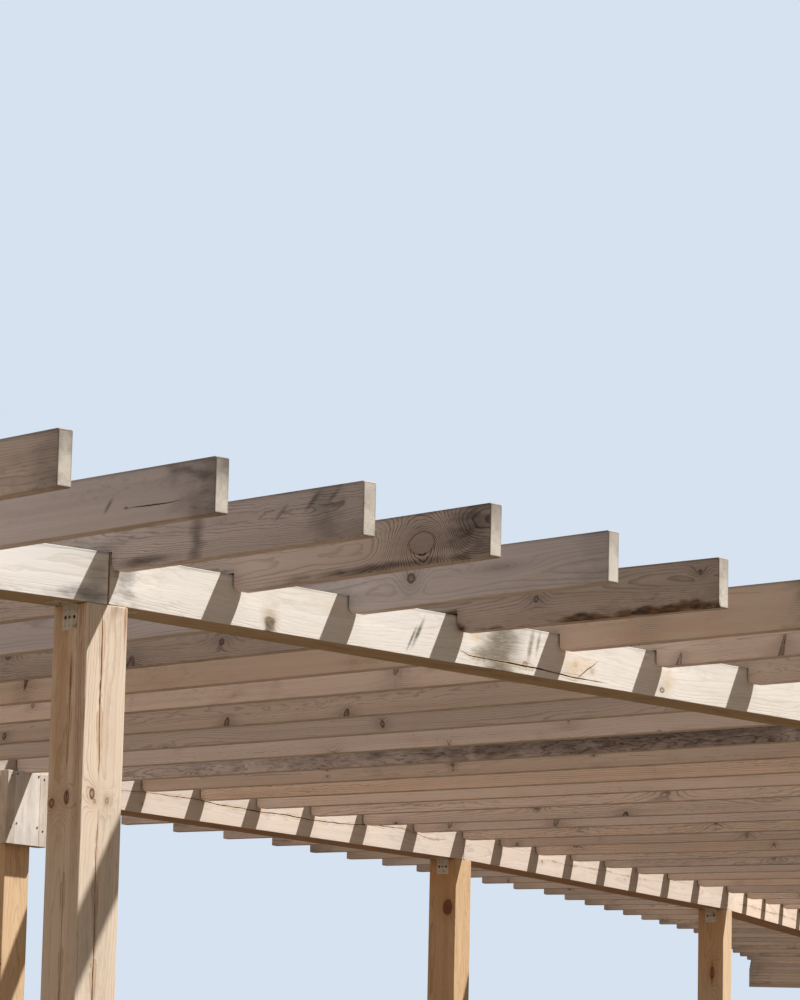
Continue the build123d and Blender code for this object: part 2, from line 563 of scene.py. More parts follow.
    def weather_and_painted_light(self, colour: Wire, lines: Wire) -> Wire:
        """Grey tops and sun sides, weathered and also painted darker as shade against the key light;
        lighter, warmer undersides painted with reflected ground light; sawn ends and darker arrises.

        Args:
            colour: Colour so far.
            lines: Late wood.

        Returns:
            The colour with its weathering and painted light.
        """
        wood = self.wood
        facing = self.add("ShaderNodeTexCoord", {}, {}, "Normal").parts()[2]
        side = 1.0 - self.sawn
        # Painted shade: the sun side and the tops are turned grey, partly as weathering and partly so that
        # the key light does not wash them out.
        greyed_sunlit_side = (self.across / wood.half_across).step(-0.94, -0.99) * wood.sun_side_grey_shade
        top = facing.step(0.45, 0.9).larger(greyed_sunlit_side) * side
        colour = self.mix(colour, wood.grey, top * (wood.grey_share + (self.patch - 0.5) * 0.5).clipped())
        # Painted reflected light: faces that look down are mixed toward the lighter, warmer underside
        # colour, which stands for ground bounce; the rust patches in it are real.
        under = facing.step(-0.45, -0.9) * side * self.inset.step(wood.under_reach, wood.under_reach * 0.72)
        warm = self.mix(wood.under, wood.late, (lines * 0.5 + (self.smear - 0.4) * 0.5).clipped())
        rust = self.noise(self.place, (4.5, 12.0, 12.0)).step(0.55, 0.63)
        warm = self.mix(warm, wood.rust, rust * wood.rusty)
        colour = self.mix(colour, warm, under * wood.under_share * (0.75 + self.patch * 0.5).clipped())
        upper = (wood.half_up - self.up).step(0.011, 0.001) * side * (1.0 - top)
        colour = self.mix(colour, wood.mould, upper * self.smear * wood.arris_soil)
        face = self.mix(wood.end, wood.late, (lines * 0.35 + (self.smear - 0.45) * 0.9).clipped())
        soiled = (self.up / wood.half_up + self.rough * 1.6).step(-0.6, 1.0) * (0.12 + self.tip_soil * 0.7)
        face = self.mix(face, wood.mould, soiled)
        border = (wood.half_across - abs(self.across)).smaller(wood.half_up - abs(self.up))
        rim = border.step(0.007, 0.0005) * (0.35 + self.patch)
        return self.mix(colour, self.mix(face, wood.mould, rim.clipped() * 0.75), self.sawn)

    def soil(self, colour: Wire, lines: Wire) -> Wire:
        """Mould, the dark of bark and stains near the ends.

        Args:
            colour: Colour so far.
            lines: Late wood.

        Returns:
            The soiled colour.
        """
        wood = self.wood
        bloom = self.patch.step(0.5, 0.68)
        spots = (self.speck.step(0.5, 0.66) * 0.55 + self.smear.step(0.48, 0.7) * 0.5).clipped()
        colour = self.mix(colour, wood.mould, (bloom * 0.35 + self.damp).clipped() * spots * 0.8)
        tip = (self.inset + self.rough * 0.3).step(0.19, 0.0)
        grime = self.damp.larger(tip * self.tip_soil) * (1.0 - self.sawn)
        grime = grime * (0.3 + self.smear * 0.5 + lines * 0.35 + spots * 0.3)
        colour = self.mix(colour, wood.mould, grime.clipped())
        bark = (self.attribute("wane", "Fac") + self.rough * 0.9).step(0.72, 0.98)
        coat = self.mix(*self.BARK, self.speck.step(0.35, 0.65))
        return self.mix(colour, coat, bark * 0.9)

    def mark_reach(self, mark: Mark) -> Wire:
        """How far every point is from a mark, where one is the mark's edge.

        Args:
            mark: The mark.

        Returns:
            The distance, which is large on the other faces.
        """
        wood = self.wood
        if mark.side in (Side.PLUS, Side.MINUS):
            cross, out, half = self.up, self.across, wood.half_across
            out = out if mark.side is Side.PLUS else out * -1.0
        else:
            cross, out, half = self.across, self.up, wood.half_up
            out = out if mark.side is Side.OVER else out * -1.0
        away = (1.0 - (out > half - self.RIM)) * self.ELSEWHERE
        if mark.owner is not None:
            away = away + abs(self.number - float(mark.owner)) * self.ELSEWHERE
        if mark.kind is MarkKind.SLIT:
            run = (self.along - mark.along) / mark.reach[0]
            bow = self.waver * (mark.ragged * 0.03)
            off = abs(cross - mark.off - run * (mark.lean * mark.reach[0]) + bow)
            open_half = ((1.0 - run * run) * mark.reach[1]).larger(0.00001)
            return off / open_half + away
        down = self.along - mark.along - (cross - mark.off) * mark.lean
        from_mark = self.length(down / mark.reach[0], (cross - mark.off) / mark.reach[1], 0.0)
        return from_mark + self.rough * (mark.ragged * 2.0) + away


@dataclass(frozen=True)
class SteelFinish:
    """Dull zinc-coated steel with a crystal bloom and a little rust."""
    name: str = "dull_zinc"
    light: Colour = paint(236, 230, 218)
    dark: Colour = paint(178, 170, 156)
    rust: Colour = paint(126, 84, 50)
    rusty: float = 0.6

    def build(self) -> bpy.types.Material:
        """Make the material."""
        sheet = SurfaceSheet(self.name)
        place = sheet.place_on_object()
        bloom = sheet.noise(place, (70.0, 70.0, 70.0), 3.0)
        cells = sheet.add("ShaderNodeTexVoronoi", {}, {"Vector": place, "Scale": 160.0}, "Color")
        crystals = cells.parts()[0]
        rust = sheet.noise(place, (26.0, 26.0, 26.0), 4.0).step(0.56, 0.7) * self.rusty
        colour = sheet.mix(self.dark, self.light, (bloom * 0.9 + crystals * 0.35).clipped())
        colour = sheet.mix(colour, self.rust, rust)
        return sheet.finish(colour, 0.44 + bloom * 0.2 + rust * 0.3, bloom + crystals * 0.3, 0.0002,
                            metallic=0.15, shine=0.5)


@dataclass(frozen=True)
class PlainFinish:
    """A dull coat with a fine grit, here the near-black of painted shade in the bracket holes."""
    name: str
    colour: Colour
    grit: Colour = paint(20, 16, 12)

    def build(self) -> bpy.types.Material:
        """Make the material."""
        sheet = SurfaceSheet(self.name)
        grit = sheet.noise(sheet.place_on_object(), (300.0, 300.0, 300.0))
        colour = sheet.mix(self.colour, self.grit, (grit - 0.2).clipped())
        return sheet.finish(colour, 0.8, grit, 0.0003)


class Line(Enum):
    """The two lines of posts and beams."""
    OUTER = "outer"
    INNER = "inner"


@dataclass(frozen=True)
class RingPlan:
    """Where the timbers stand: everything is set out about the ring centre."""
    bays: int
    centre: float
    post_height: float
    beam_depth: float
    rafter_under: float
    rafter_over: float
    rafters_per_bay: int = 8
    bay_turn: float = radians(7.55)
    outer_radius: float = 28.3
    inner_radius: float = 24.175
    outer_shift: float = 0.024
    beam_width: float = 0.14
    post_size: float = 0.14
    rafter_thickness: float = 0.045
    outer_overhang: float = 0.975
    inner_overhang: float = 0.895

    @property
    def half_bay(self) -> float:
        """Half the turn of a bay."""
        return self.bay_turn / 2

    @property
    def rafter_depth(self) -> float:
        """Depth of a rafter."""
        return self.rafter_over - self.rafter_under

    def post_turn(self, number: int) -> float:
        """Turn of the rafter over a post, which is counted from 1 at the left end."""
        return (number - 1 - self.bays / 2) * self.bay_turn

    def lead(self, line: Line) -> float:
        """Turn by which a line's posts and joints stand left of the rafters over them."""
        return self.outer_shift / self.outer_radius if line is Line.OUTER else 0.0

    def line_turn(self, line: Line, number: int) -> float:
        """Turn of a post, and of the beam joint over it."""
        return self.post_turn(number) - self.lead(line)

    def radius(self, line: Line) -> float:
        """Distance from the ring centre to the kinks in a line's front face."""
        return self.outer_radius if line is Line.OUTER else self.inner_radius

    def axes(self, turn: float) -> tuple[Vector, Vector]:
        """The outward and sideways directions at a turn."""
        return Vector((sin(turn), -cos(turn), 0)), Vector((cos(turn), sin(turn), 0))

    def spot(self, turn: float, radius: float, sideways: float, height: float) -> Vector:
        """A point by its distance from the ring centre at a turn, and how far it is off that ray."""
        out, side = self.axes(turn)
        return Vector((0, self.centre, height)) + out * radius + side * sideways

    def off_middle(self, step: int) -> float:
        """Turn of a rafter from the middle of its bay."""
        return (step / self.rafters_per_bay - 0.5) * self.bay_turn

    def face_distance(self, line: Line, setback: float, off: float) -> float:
        """Distance along a rafter to a straight beam face."""
        return (self.radius(line) * cos(self.half_bay) - setback) / cos(off)

    def tip(self, off: float) -> float:
        """Distance from the ring centre to a rafter's outer end."""
        return self.face_distance(Line.OUTER, 0, off) + self.outer_overhang

    def heel(self, off: float) -> float:
        """Distance from the ring centre to a rafter's inner end."""
        return self.face_distance(Line.INNER, self.beam_width, off) - self.inner_overhang

    @classmethod
    def from_frame(cls) -> "RingPlan":
        """Read the heights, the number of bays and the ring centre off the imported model."""
        post_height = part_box("outer_post_1")[1].z
        low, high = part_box("end_rafter")
        bays = sum(name.startswith("outer_beam_") for name in NODES)
        plan = cls(bays, 0.0, post_height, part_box("outer_beam_1")[1].z - post_height, low.z, high.z)
        return replace(plan, centre=CAD_BOX[0].y + plan.tip(0.0))


@dataclass(frozen=True)
class Crack:
    """A drying crack along one face of a timber.

    Its path is a row of places along the timber, from its start, and across the face.
    """
    side: Side
    path: tuple[tuple[float, float], ...]
    width: float
    depth: float
    wander: float = 0.004


@dataclass(frozen=True)
class Character:
    """What sets one timber apart from the next.

    Heart is where the tree's heart lies across and up, and the ring width. Burl is a big
    smooth knot's place and size.
    """
    seed: Triple
    heart: Triple
    tone: float
    damp: float
    figure: float
    tip_soil: float = 0.0
    cast: float = 0.0
    plain: float = 0.0
    burl: Triple = NONE

    def named(self) -> dict[str, Triple]:
        """The values by attribute name."""
        return {"seed": self.seed, "heart": self.heart, "traits": (self.tone, self.damp, self.figure),
                "wear": (self.tip_soil, self.cast, self.plain), "burl": self.burl}


def draw_character(rng: Random, off_heart: tuple[float, float], pitch: tuple[float, float],
                   damp: float = 0.0, figure: tuple[float, float] = (0.0, 0.6)) -> Character:
    """Draw a timber's character.

    Args:
        rng: Source of chance.
        off_heart: Least and most distance from the timber's middle to the heart of the tree.
        pitch: Least and most ring width.
        damp: Share of mould.
        figure: Least and most strength of wavy figure.

    Returns:
        The character.
    """
    seed = tuple(rng.uniform(5, 60) for _ in range(3))
    turn, reach = rng.uniform(0, 2 * pi), rng.uniform(*off_heart)
    heart = (reach * cos(turn) * 0.7, reach * sin(turn), rng.uniform(*pitch))
    return Character(seed, heart, rng.uniform(-1, 1), damp, rng.uniform(*figure),
                     rng.uniform(0.0, 0.7), rng.uniform(-1, 1), rng.uniform(0.0, 0.35))


class Timber:
    """A sawn bar as a stack of cross sections, with its own grain coordinates.

    Locally X runs along it, Y across and Z up, from the middle of its section.
    """

    CORNERS = np.array([(-1, -1), (1, -1), (1, 1), (-1, 1)], float)
    MID_ARRIS = 0.29  # how far an eased edge's middle lies from either face, per radius

    def __init__(self, width: float, depth: float, arris: float = 0.0025, inner: int = 3) -> None:
        """Set the section.

        Args:
            width: Size across.
            depth: Size up.
            arris: Radius of the eased edges.
            inner: Points inside each face.
        """
        self.width, self.depth, self.arris, self.inner = width, depth, arris, inner

    @property
    def per_face(self) -> int:
        """Points of the outline that belong to one face and the arris after it."""
        return self.inner + 3

    def section(self, low: float = 0.0, ease: float = 0.0, waned: float = 0.0) -> np.ndarray:
        """One outline, with evenly spread points inside each face.

        Args:
            low: How far the underside is raised, as in a notch.
            ease: How far the outline is drawn in, as at a sawn end.
            waned: Extra easing of the lower edge on the plus side.

        Returns:
            Points as rows of across and up.
        """
        half = np.array([self.width / 2 - ease, self.depth / 2 - ease])
        floor = -half[1] + low
        points = []
        for face in range(4):
            here, there = self.CORNERS[face] * half, self.CORNERS[(face + 1) % 4] * half
            here[1], there[1] = max(here[1], floor), max(there[1], floor)
            way = (there - here) / np.linalg.norm(there - here)
            next_way = np.array([-way[1], way[0]])
            start = self.arris + (waned if face == Side.PLUS else 0.0)
            stop = self.arris + (waned if face == Side.UNDER else 0.0)
            first, last = here + way * start, there - way * stop
            for share in np.linspace(0, 1, self.inner + 2):
                points.append(first + (last - first) * share)
            points.append(there + (next_way - way) * (self.MID_ARRIS * stop))
        return np.array(points)

    def loft(self, stations: Sequence[float], sections: Sequence[np.ndarray]) -> np.ndarray:
        """Stack outlines along the length.

        Args:
            stations: Distance along of each outline.
            sections: The outlines.

        Returns:
            Array of stations, points and coordinates.
        """
        rings = np.zeros((len(stations), len(sections[0]), 3))
        rings[:, :, 0] = np.array(stations)[:, None]
        rings[:, :, 1:] = np.array(sections)
        return rings


def skin(rings: np.ndarray) -> list[tuple[int, ...]]:
    """Faces of a stack of outlines, closed at both ends.

    Args:
        rings: Array of stations, points and coordinates.

    Returns:
        Faces that point outwards.
    """
    stations, count = rings.shape[:2]
    faces = []
    for station in range(stations - 1):
        base = station * count
        for point in range(count):
            after = (point + 1) % count
            faces.append((base + point, base + after, base + count + after, base + count + point))
    faces.append(tuple(reversed(range(count))))
    faces.append(tuple(range((stations - 1) * count, stations * count)))
    return faces


def plain_mesh(name: str, points: np.ndarray, faces: Sequence[Sequence[int]],
               attributes: dict[str, np.ndarray | Triple | float]) -> bpy.types.Mesh:
    """A mesh with named values at its points.

    Args:
        name: Name of the mesh.
        points: Rows of coordinates.
        faces: Point numbers of each face.
        attributes: A row for each point, or one value for all of them.

    Returns:
        The mesh.
    """
    mesh = bpy.data.meshes.new(name)
    mesh.from_pydata(np.asarray(points).tolist(), [], faces)
    for label, values in attributes.items():
        values = np.asarray(values, float)
        vector = values.shape[-1:] == (3,)
        shape = (len(points), 3) if vector else (len(points),)
        layer = mesh.attributes.new(label, "FLOAT_VECTOR" if vector else "FLOAT", "POINT")
        layer.data.foreach_set("vector" if vector else "value", np.broadcast_to(values, shape).ravel())
    mesh.update()
    return mesh


def link(thing: bpy.types.Object) -> bpy.types.Object:
    """Put an object in the scene."""
    bpy.context.scene.collection.objects.link(thing)
    return thing


def show(name: str, mesh: bpy.types.Mesh, replaced: Sequence[str] = (),
         finish: bpy.types.Material | None = None) -> bpy.types.Object:
    """Put a finished mesh in the scene as a piece of the pergola.

    Args:
        name: Name of the piece.
        mesh: Its mesh, in place.
        replaced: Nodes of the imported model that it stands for.
        finish: Its material, if the mesh has none.

    Returns:
        The piece.
    """
    piece = link(bpy.data.objects.new(name, mesh))
    if finish is not None:
        mesh.materials.clear()
        mesh.materials.append(finish)
    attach(piece, "root")
    if replaced:
        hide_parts(*replaced)
    LOG.info("%s: %d faces", name, len(mesh.polygons))
    return piece


class CarvedTimber(Timber):
    """A timber whose faces can carry drying cracks."""

    PITCH = 0.02  # between outlines along the timber
    STAINED = 0.011  # stained wood beside each lip of a crack
    SOUND = 0.0035  # sound wood left between that and the arris
    HAIRLINE = 0.0006  # how far the lips stay apart where a crack is closed
    FULLY_OPEN = 0.0025  # width from which a crack is at its darkest
    FLOOR = 3  # number of a face's point at the bottom of a crack
    WAVES = ((1.3, 0.6), (3.1, 0.34), (9.0, 0.16), (23.0, 0.08))  # per metre, and share
    # Each inner point of a face: its number, place in the width, distance beyond, and depth
    GROOVE = ((1, -0.5, -STAINED, 0.0), (2, -0.5, 0.0, 0.25), (FLOOR, 0.0, 0.0, 1.0),
              (4, 0.5, 0.0, 0.25), (5, 0.5, STAINED, 0.0))

    def __init__(self, width: float, depth: float, arris: float) -> None:
        """Set a section with five points inside each face."""
        super().__init__(width, depth, arris, inner=5)

    def carve(self, length: float, cracks: Sequence[Crack], rng: Random) -> tuple[np.ndarray, np.ndarray]:
        """Stack the sections of the whole length and open the cracks.

        Args:
            length: Length of the timber.
            cracks: Cracks, at most one at any place on a face.
            rng: Source of chance.

        Returns:
            The stack of outlines, and how deep in a crack each point is.
        """
        steps = int(round(length / self.PITCH))
        stations = np.concatenate([[0.0, self.arris], np.linspace(0, length, steps + 1)[1:-1],
                                   [length - self.arris, length]])
        sections = [self.section(ease=self.arris if at in (0.0, length) else 0.0) for at in stations]
        rings = self.loft(stations, sections)
        depths = np.zeros(rings.shape[:2])
        for side in Side:
            own = [crack for crack in cracks if crack.side is side]
            if own:
                self._open_cracks(rings, depths, stations, side, own, rng)
        return rings, depths

    def _open_cracks(self, rings: np.ndarray, depths: np.ndarray, stations: np.ndarray, side: Side,
                     cracks: Sequence[Crack], rng: Random) -> None:
        """Draw the inner points of a face together into grooves.

        Args:
            rings: The stack of outlines, which is changed.
            depths: Depth in a crack at each point, which is changed.
            stations: Distances along.
            side: The face.
            cracks: Its cracks.
            rng: Source of chance.
        """
        first = int(side) * self.per_face
        left, right = rings[:, first], rings[:, first + self.inner + 1]
        middle = (left + right) / 2
        half = np.linalg.norm(right - left, axis=1) / 2
        way = (right - left) / (half * 2)[:, None]
        inward = np.stack([np.zeros(len(stations)), -way[:, 2], way[:, 1]], axis=1)
        cracks = sorted(cracks, key=lambda crack: crack.path[0][0])
        path = [place for crack in cracks for place in crack.path]
        centre = np.interp(stations, [along for along, _ in path], [off for _, off in path])
        width = np.zeros(len(stations))
        depth = np.zeros(len(stations))
        for crack in cracks:
            start, end = crack.path[0][0], crack.path[-1][0]
            open_share = np.sin(pi * np.clip((stations - start) / (end - start), 0, 1)) ** 0.5
            jitter = np.array([rng.uniform(0.6, 1.25) for _ in stations])
            width += crack.width * open_share * jitter
            depth += crack.depth * open_share
            phase = rng.uniform(0, 2 * pi)
            near = np.clip(open_share * 3.0, 0, 1)
            for waves, part in self.WAVES:
                centre += crack.wander * part * near * np.sin(2 * pi * waves * stations + phase * waves)
        opened = np.clip(width / self.FULLY_OPEN, 0, 1)
        room = half - self.STAINED - self.SOUND
        centre = np.clip(centre, -room, room)
        for index, reach, beyond, value in self.GROOVE:
            spread = np.maximum(width, self.HAIRLINE) * reach + beyond
            place = middle + way * (centre + spread)[:, None]
            if index == self.FLOOR:
                place = place + inward * depth[:, None]
            depths[:, first + index] = value * opened
            rings[:, first + index] = place


def set_on_axes(rings: np.ndarray, origin: Vector, along: Vector, across: Vector, up: Vector) -> np.ndarray:
    """Place local points in the pergola's frame, by their origin and the directions of their axes."""
    return rings.reshape(-1, 3) @ np.array([along, across, up]) + np.array(origin)


def wood_attributes(rings: np.ndarray, depths: np.ndarray,
                    wane: np.ndarray | None = None) -> dict[str, np.ndarray | float]:
    """The values that a wood finish reads off the points of a timber.

    Args:
        rings: The stack of outlines in the timber's own coordinates.
        depths: Depth in a crack at each point, or on a rafter the painted shade of its notch.
        wane: Share of bark at each point.

    Returns:
        Values by attribute name.
    """
    ends = np.zeros(rings.shape[:2])
    ends[0] = ends[-1] = 1.0
    along = rings[:, :, 0]
    inset = np.minimum(along - along[0].mean(), along[-1].mean() - along)
    return {"grain": rings.reshape(-1, 3), "end": ends.ravel(), "inset": inset.ravel(),
            "crack": depths.ravel(), "wane": 0.0 if wane is None else wane.ravel()}


def show_carved(name: str, carved: tuple[np.ndarray, np.ndarray], axes: Sequence[Vector],
                character: Character, finish: bpy.types.Material) -> bpy.types.Object:
    """Put a carved timber in place.

    Args:
        name: The node that it stands for.
        carved: Its stack of outlines, and how deep in a crack each point is.
        axes: Its origin and its own three directions.
        character: Its character.
        finish: Its material.

    Returns:
        The piece.
    """
    rings, _ = carved
    values = wood_attributes(*carved) | character.named()
    mesh = plain_mesh(name, set_on_axes(rings, *axes), skin(rings), values)
    return show(f"{name}_timber", mesh, [name], finish)


@dataclass
class TimberLine:
    """What the posts and the beams of a line share."""
    plan: RingPlan
    line: Line
    wood: WoodFinish
    marks: dict[int, tuple[Mark, ...]] = field(default_factory=dict)
    cracks: dict[int, tuple[Crack, ...]] = field(default_factory=dict)
    changes: dict[int, dict[str, Any]] = field(default_factory=dict)
    arris: float = 0.003
    depth_per_width: float = 3.0

    def finish_of(self, number: int) -> bpy.types.Material:
        """The line's material, or one with the marks of a timber that has its own."""
        if number in self.marks:
            name = f"{self.wood.name}_{number}"
            return replace(self.wood, name=name, marks=self.marks[number], knot_chance=0.0).build()
        return bpy.data.materials.get(self.wood.name) or self.wood.build()

    def character_of(self, number: int, rng: Random, off_heart: tuple[float, float],
                     pitch: tuple[float, float], tip_soil: float) -> Character:
        """Draw a timber's character, and change what is known of it."""
        drawn = draw_character(rng, off_heart, pitch, damp=max(0.0, rng.gauss(-0.1, 0.1)))
        usual = {"tip_soil": rng.uniform(0.0, tip_soil)}
        return replace(drawn, **(usual | self.changes.get(number, {})))

    def usual_cracks(self, rng: Random, length: float, share: float, widest: float) -> tuple[Crack, ...]:
        """Draw long cracks for some of the faces.

        Args:
            rng: Source of chance.
            length: Length of the timber.
            share: How many of the faces have one.
            widest: Greatest width.

        Returns:
            The cracks.
        """
        cracks = []
        for side in Side:
            if rng.random() < share:
                start = rng.uniform(0.03, 0.4) * length
                end = min(start + rng.uniform(0.25, 0.6) * length, length - 0.06)
                off = rng.uniform(-0.028, 0.028)
                path = ((start, off), ((start + end) / 2, off + rng.uniform(-0.008, 0.008)),
                        (end, off + rng.uniform(-0.014, 0.014)))
                width = rng.uniform(0.35, 1.0) * widest
                cracks.append(Crack(side, path, width, width * self.depth_per_width))
        return tuple(cracks)


@dataclass
class PostLine(TimberLine):
    """The posts of one line."""

    def build(self) -> None:
        """Make every post of the line."""
        for number in range(1, self.plan.bays + 2):
            self.make_post(number)

    def make_post(self, number: int) -> bpy.types.Object:
        """Make one post.

        Args:
            number: Its number from the left end.

        Returns:
            The piece.
        """
        plan = self.plan
        rng = Random(f"{self.line.value} post {number}")
        character = self.character_of(number, rng, (0.0, 0.03), (0.005, 0.008), 0.2)
        cracks = self.cracks.get(number) or self.usual_cracks(rng, plan.post_height, 0.75, 0.004)
        timber = CarvedTimber(plan.post_size, plan.post_size, self.arris)
        carved = timber.carve(plan.post_height, cracks, rng)
        turn = plan.line_turn(self.line, number)
        out, side = plan.axes(turn)
        origin = plan.spot(turn, plan.radius(self.line) - plan.post_size / 2, 0.0, 0.0)
        return show_carved(f"{self.line.value}_post_{number}", carved, (origin, UP, -side, out), character,
                           self.finish_of(number))


@dataclass
class BeamLine(TimberLine):
    """The straight beam lengths of one line, which meet at a mitre over every post."""
    joint: float = 0.0009
    arris: float = 0.0018

    def build(self) -> None:
        """Make every beam of the line."""
        for number in range(1, self.plan.bays + 1):
            self.make_beam(number)

    def make_beam(self, number: int) -> bpy.types.Object:
        """Make one beam.

        Args:
            number: Its bay, from the left end.

        Returns:
            The piece.
        """
        plan = self.plan
        rng = Random(f"{self.line.value} beam {number}")
        character = self.character_of(number, rng, (0.0, 0.05), (0.005, 0.009), 0.5)
        half_front = plan.radius(self.line) * sin(plan.half_bay)
        past = plan.post_size / 2 / cos(plan.half_bay)
        left = half_front + (past if number == 1 else -self.joint)
        right = half_front + (past if number == plan.bays else -self.joint)
        cracks = self.cracks.get(number) or self.usual_cracks(rng, left + right, 0.6, 0.003)
        timber = CarvedTimber(plan.beam_width, plan.beam_depth, self.arris)
        rings, depths = timber.carve(left + right, cracks, rng)
        inward = rings[:, :, 1] + plan.beam_width / 2
        start = inward * (0.0 if number == 1 else tan(plan.half_bay)) - left
        stop = right - inward * (0.0 if number == plan.bays else tan(plan.half_bay))
        rings[:, :, 0] = start + rings[:, :, 0] / (left + right) * (stop - start)
        turn = plan.line_turn(self.line, number) + plan.half_bay
        out, side = plan.axes(turn)
        front = plan.radius(self.line) * cos(plan.half_bay)
        middle = plan.spot(turn, front - plan.beam_width / 2, 0.0, plan.post_height + plan.beam_depth / 2)
        return show_carved(f"{self.line.value}_beam_{number}", (rings, depths), (middle, side, -out, UP),
                           character, self.finish_of(number))


@dataclass(frozen=True)
class Station:
    """One outline of a rafter: how far in it lies, how far its underside is raised, and at which notch."""
    place: float
    raised: float = 0.0
    line: Line | None = None


@dataclass(frozen=True)
class RafterPattern:
    """The shape of a rafter at one step across a bay."""
    plan: RingPlan
    step: int
    kinked: bool
    waney: bool = False
    arris: float = 0.0025
    notch: float = 0.05
    rounding: float = 0.018
    bite: float = 0.0006
    gap: float = 0.006
    spacing: float = 0.12
    seed: int = 77
    wane_end: float = 1.6
    wane_fade: float = 0.5
    full_bark: float = 0.003

    def off(self, line: Line | None = None) -> float:
        """Turn between the rafter and the middle of its bay, or of that bay's beam."""
        return self.plan.off_middle(self.step) + (self.plan.lead(line) if line else 0.0)

    def notch_stations(self, line: Line) -> list[Station]:
        """Outlines of one notch, with the rounded lower corners of its mouth."""
        plan, tip = self.plan, self.plan.tip(self.off())
        mouth, far = (tip - plan.face_distance(line, setback, self.off(line))
                      for setback in (0.0, plan.beam_width))
        corner = [(self.rounding * (1 - sin(angle)), self.rounding * (1 - cos(angle)))
                  for angle in np.linspace(0, pi / 2, 6)]
        mouth, far = mouth - self.gap, far + self.gap / 2
        into = [Station(mouth - back, rise, line) for back, rise in corner]
        bed = [Station(mouth + self.bite, self.notch, line), Station(far - self.bite, self.notch, line)]
        return into + bed + [Station(far + back, rise, line) for back, rise in reversed(corner)]

    def stations(self) -> list[Station]:
        """All outlines from the tip to the heel."""
        length = self.plan.tip(self.off()) - self.plan.heel(self.off())
        rows = [Station(0.0), Station(self.arris)]
        for line in Line:
            notch = self.notch_stations(line)
            rows += self.straight(rows[-1].place, notch[0].place) + notch
        rows += self.straight(rows[-1].place, length - self.arris)
        return rows + [Station(length - self.arris), Station(length)]

    def straight(self, start: float, end: float) -> list[Station]:
        """Outlines strictly between two places."""
        count = max(2, int((end - start) / self.spacing))
        return [Station(float(place)) for place in np.linspace(start, end, count + 1)[1:-1]]

    def skew(self, line: Line | None, across: np.ndarray) -> np.ndarray:
        """How far the points of an outline shift along the rafter to lie on a beam's face."""
        if line is None:
            return across * 0.0
        if self.kinked and line is Line.INNER:
            return np.abs(across) * tan(self.plan.half_bay)
        return across * tan(self.off(line))

    def build(self, name: str) -> bpy.types.Object:
        """Make the pattern about the ring centre, for a turn of zero.

        Args:
            name: Name of the pattern.

        Returns:
            An object that isn't shown.
        """
        plan = self.plan
        timber = Timber(plan.rafter_thickness, plan.rafter_depth, self.arris, inner=1)
        rows = self.stations()
        length = rows[-1].place
        rng = Random(self.seed + self.step)
        wanes = [self.wane_at(row.place, rng) if self.waney else 0.0 for row in rows]
        sections = [timber.section(row.raised, self.arris if row.place in (0.0, length) else 0.0, wane)
                    for row, wane in zip(rows, wanes)]
        rings = timber.loft([row.place for row in rows], sections)
        for ring, row in zip(rings, rows):
            ring[:, 0] += self.skew(row.line, ring[:, 1])
        tip = Vector((0, -plan.tip(self.off()), plan.rafter_depth / 2))
        points = set_on_axes(rings, tip, Vector((0, 1, 0)), Vector((-1, 0, 0)), UP)
        bark, dark = np.zeros(rings.shape[:2]), np.zeros(rings.shape[:2])
        for index, (row, wane) in enumerate(zip(rows, wanes)):
            bark[index, timber.per_face - 2:timber.per_face + 1] = min(1.0, wane / self.full_bark)
            # Painted shade: the notch's walls and bed get the full crack value, so they are painted dark
            # where the rafter sits over a beam.
            if row.raised >= self.rounding - 0.001:
                dark[index, :timber.per_face] = 1.0
        mesh = plain_mesh(name, points, skin(rings), wood_attributes(rings, dark, bark))
        return bpy.data.objects.new(name, mesh)

    def wane_at(self, place: float, rng: Random) -> float:
        """Extra easing of the lower edge where the bark was left on."""
        swell = 0.5 + 0.5 * sin(place * 5.0 + 1.0)
        fade = min(1.0, max(0.0, (self.wane_end - place) / self.wane_fade))
        return (0.002 + 0.004 * swell + rng.uniform(-0.002, 0.002)) * fade


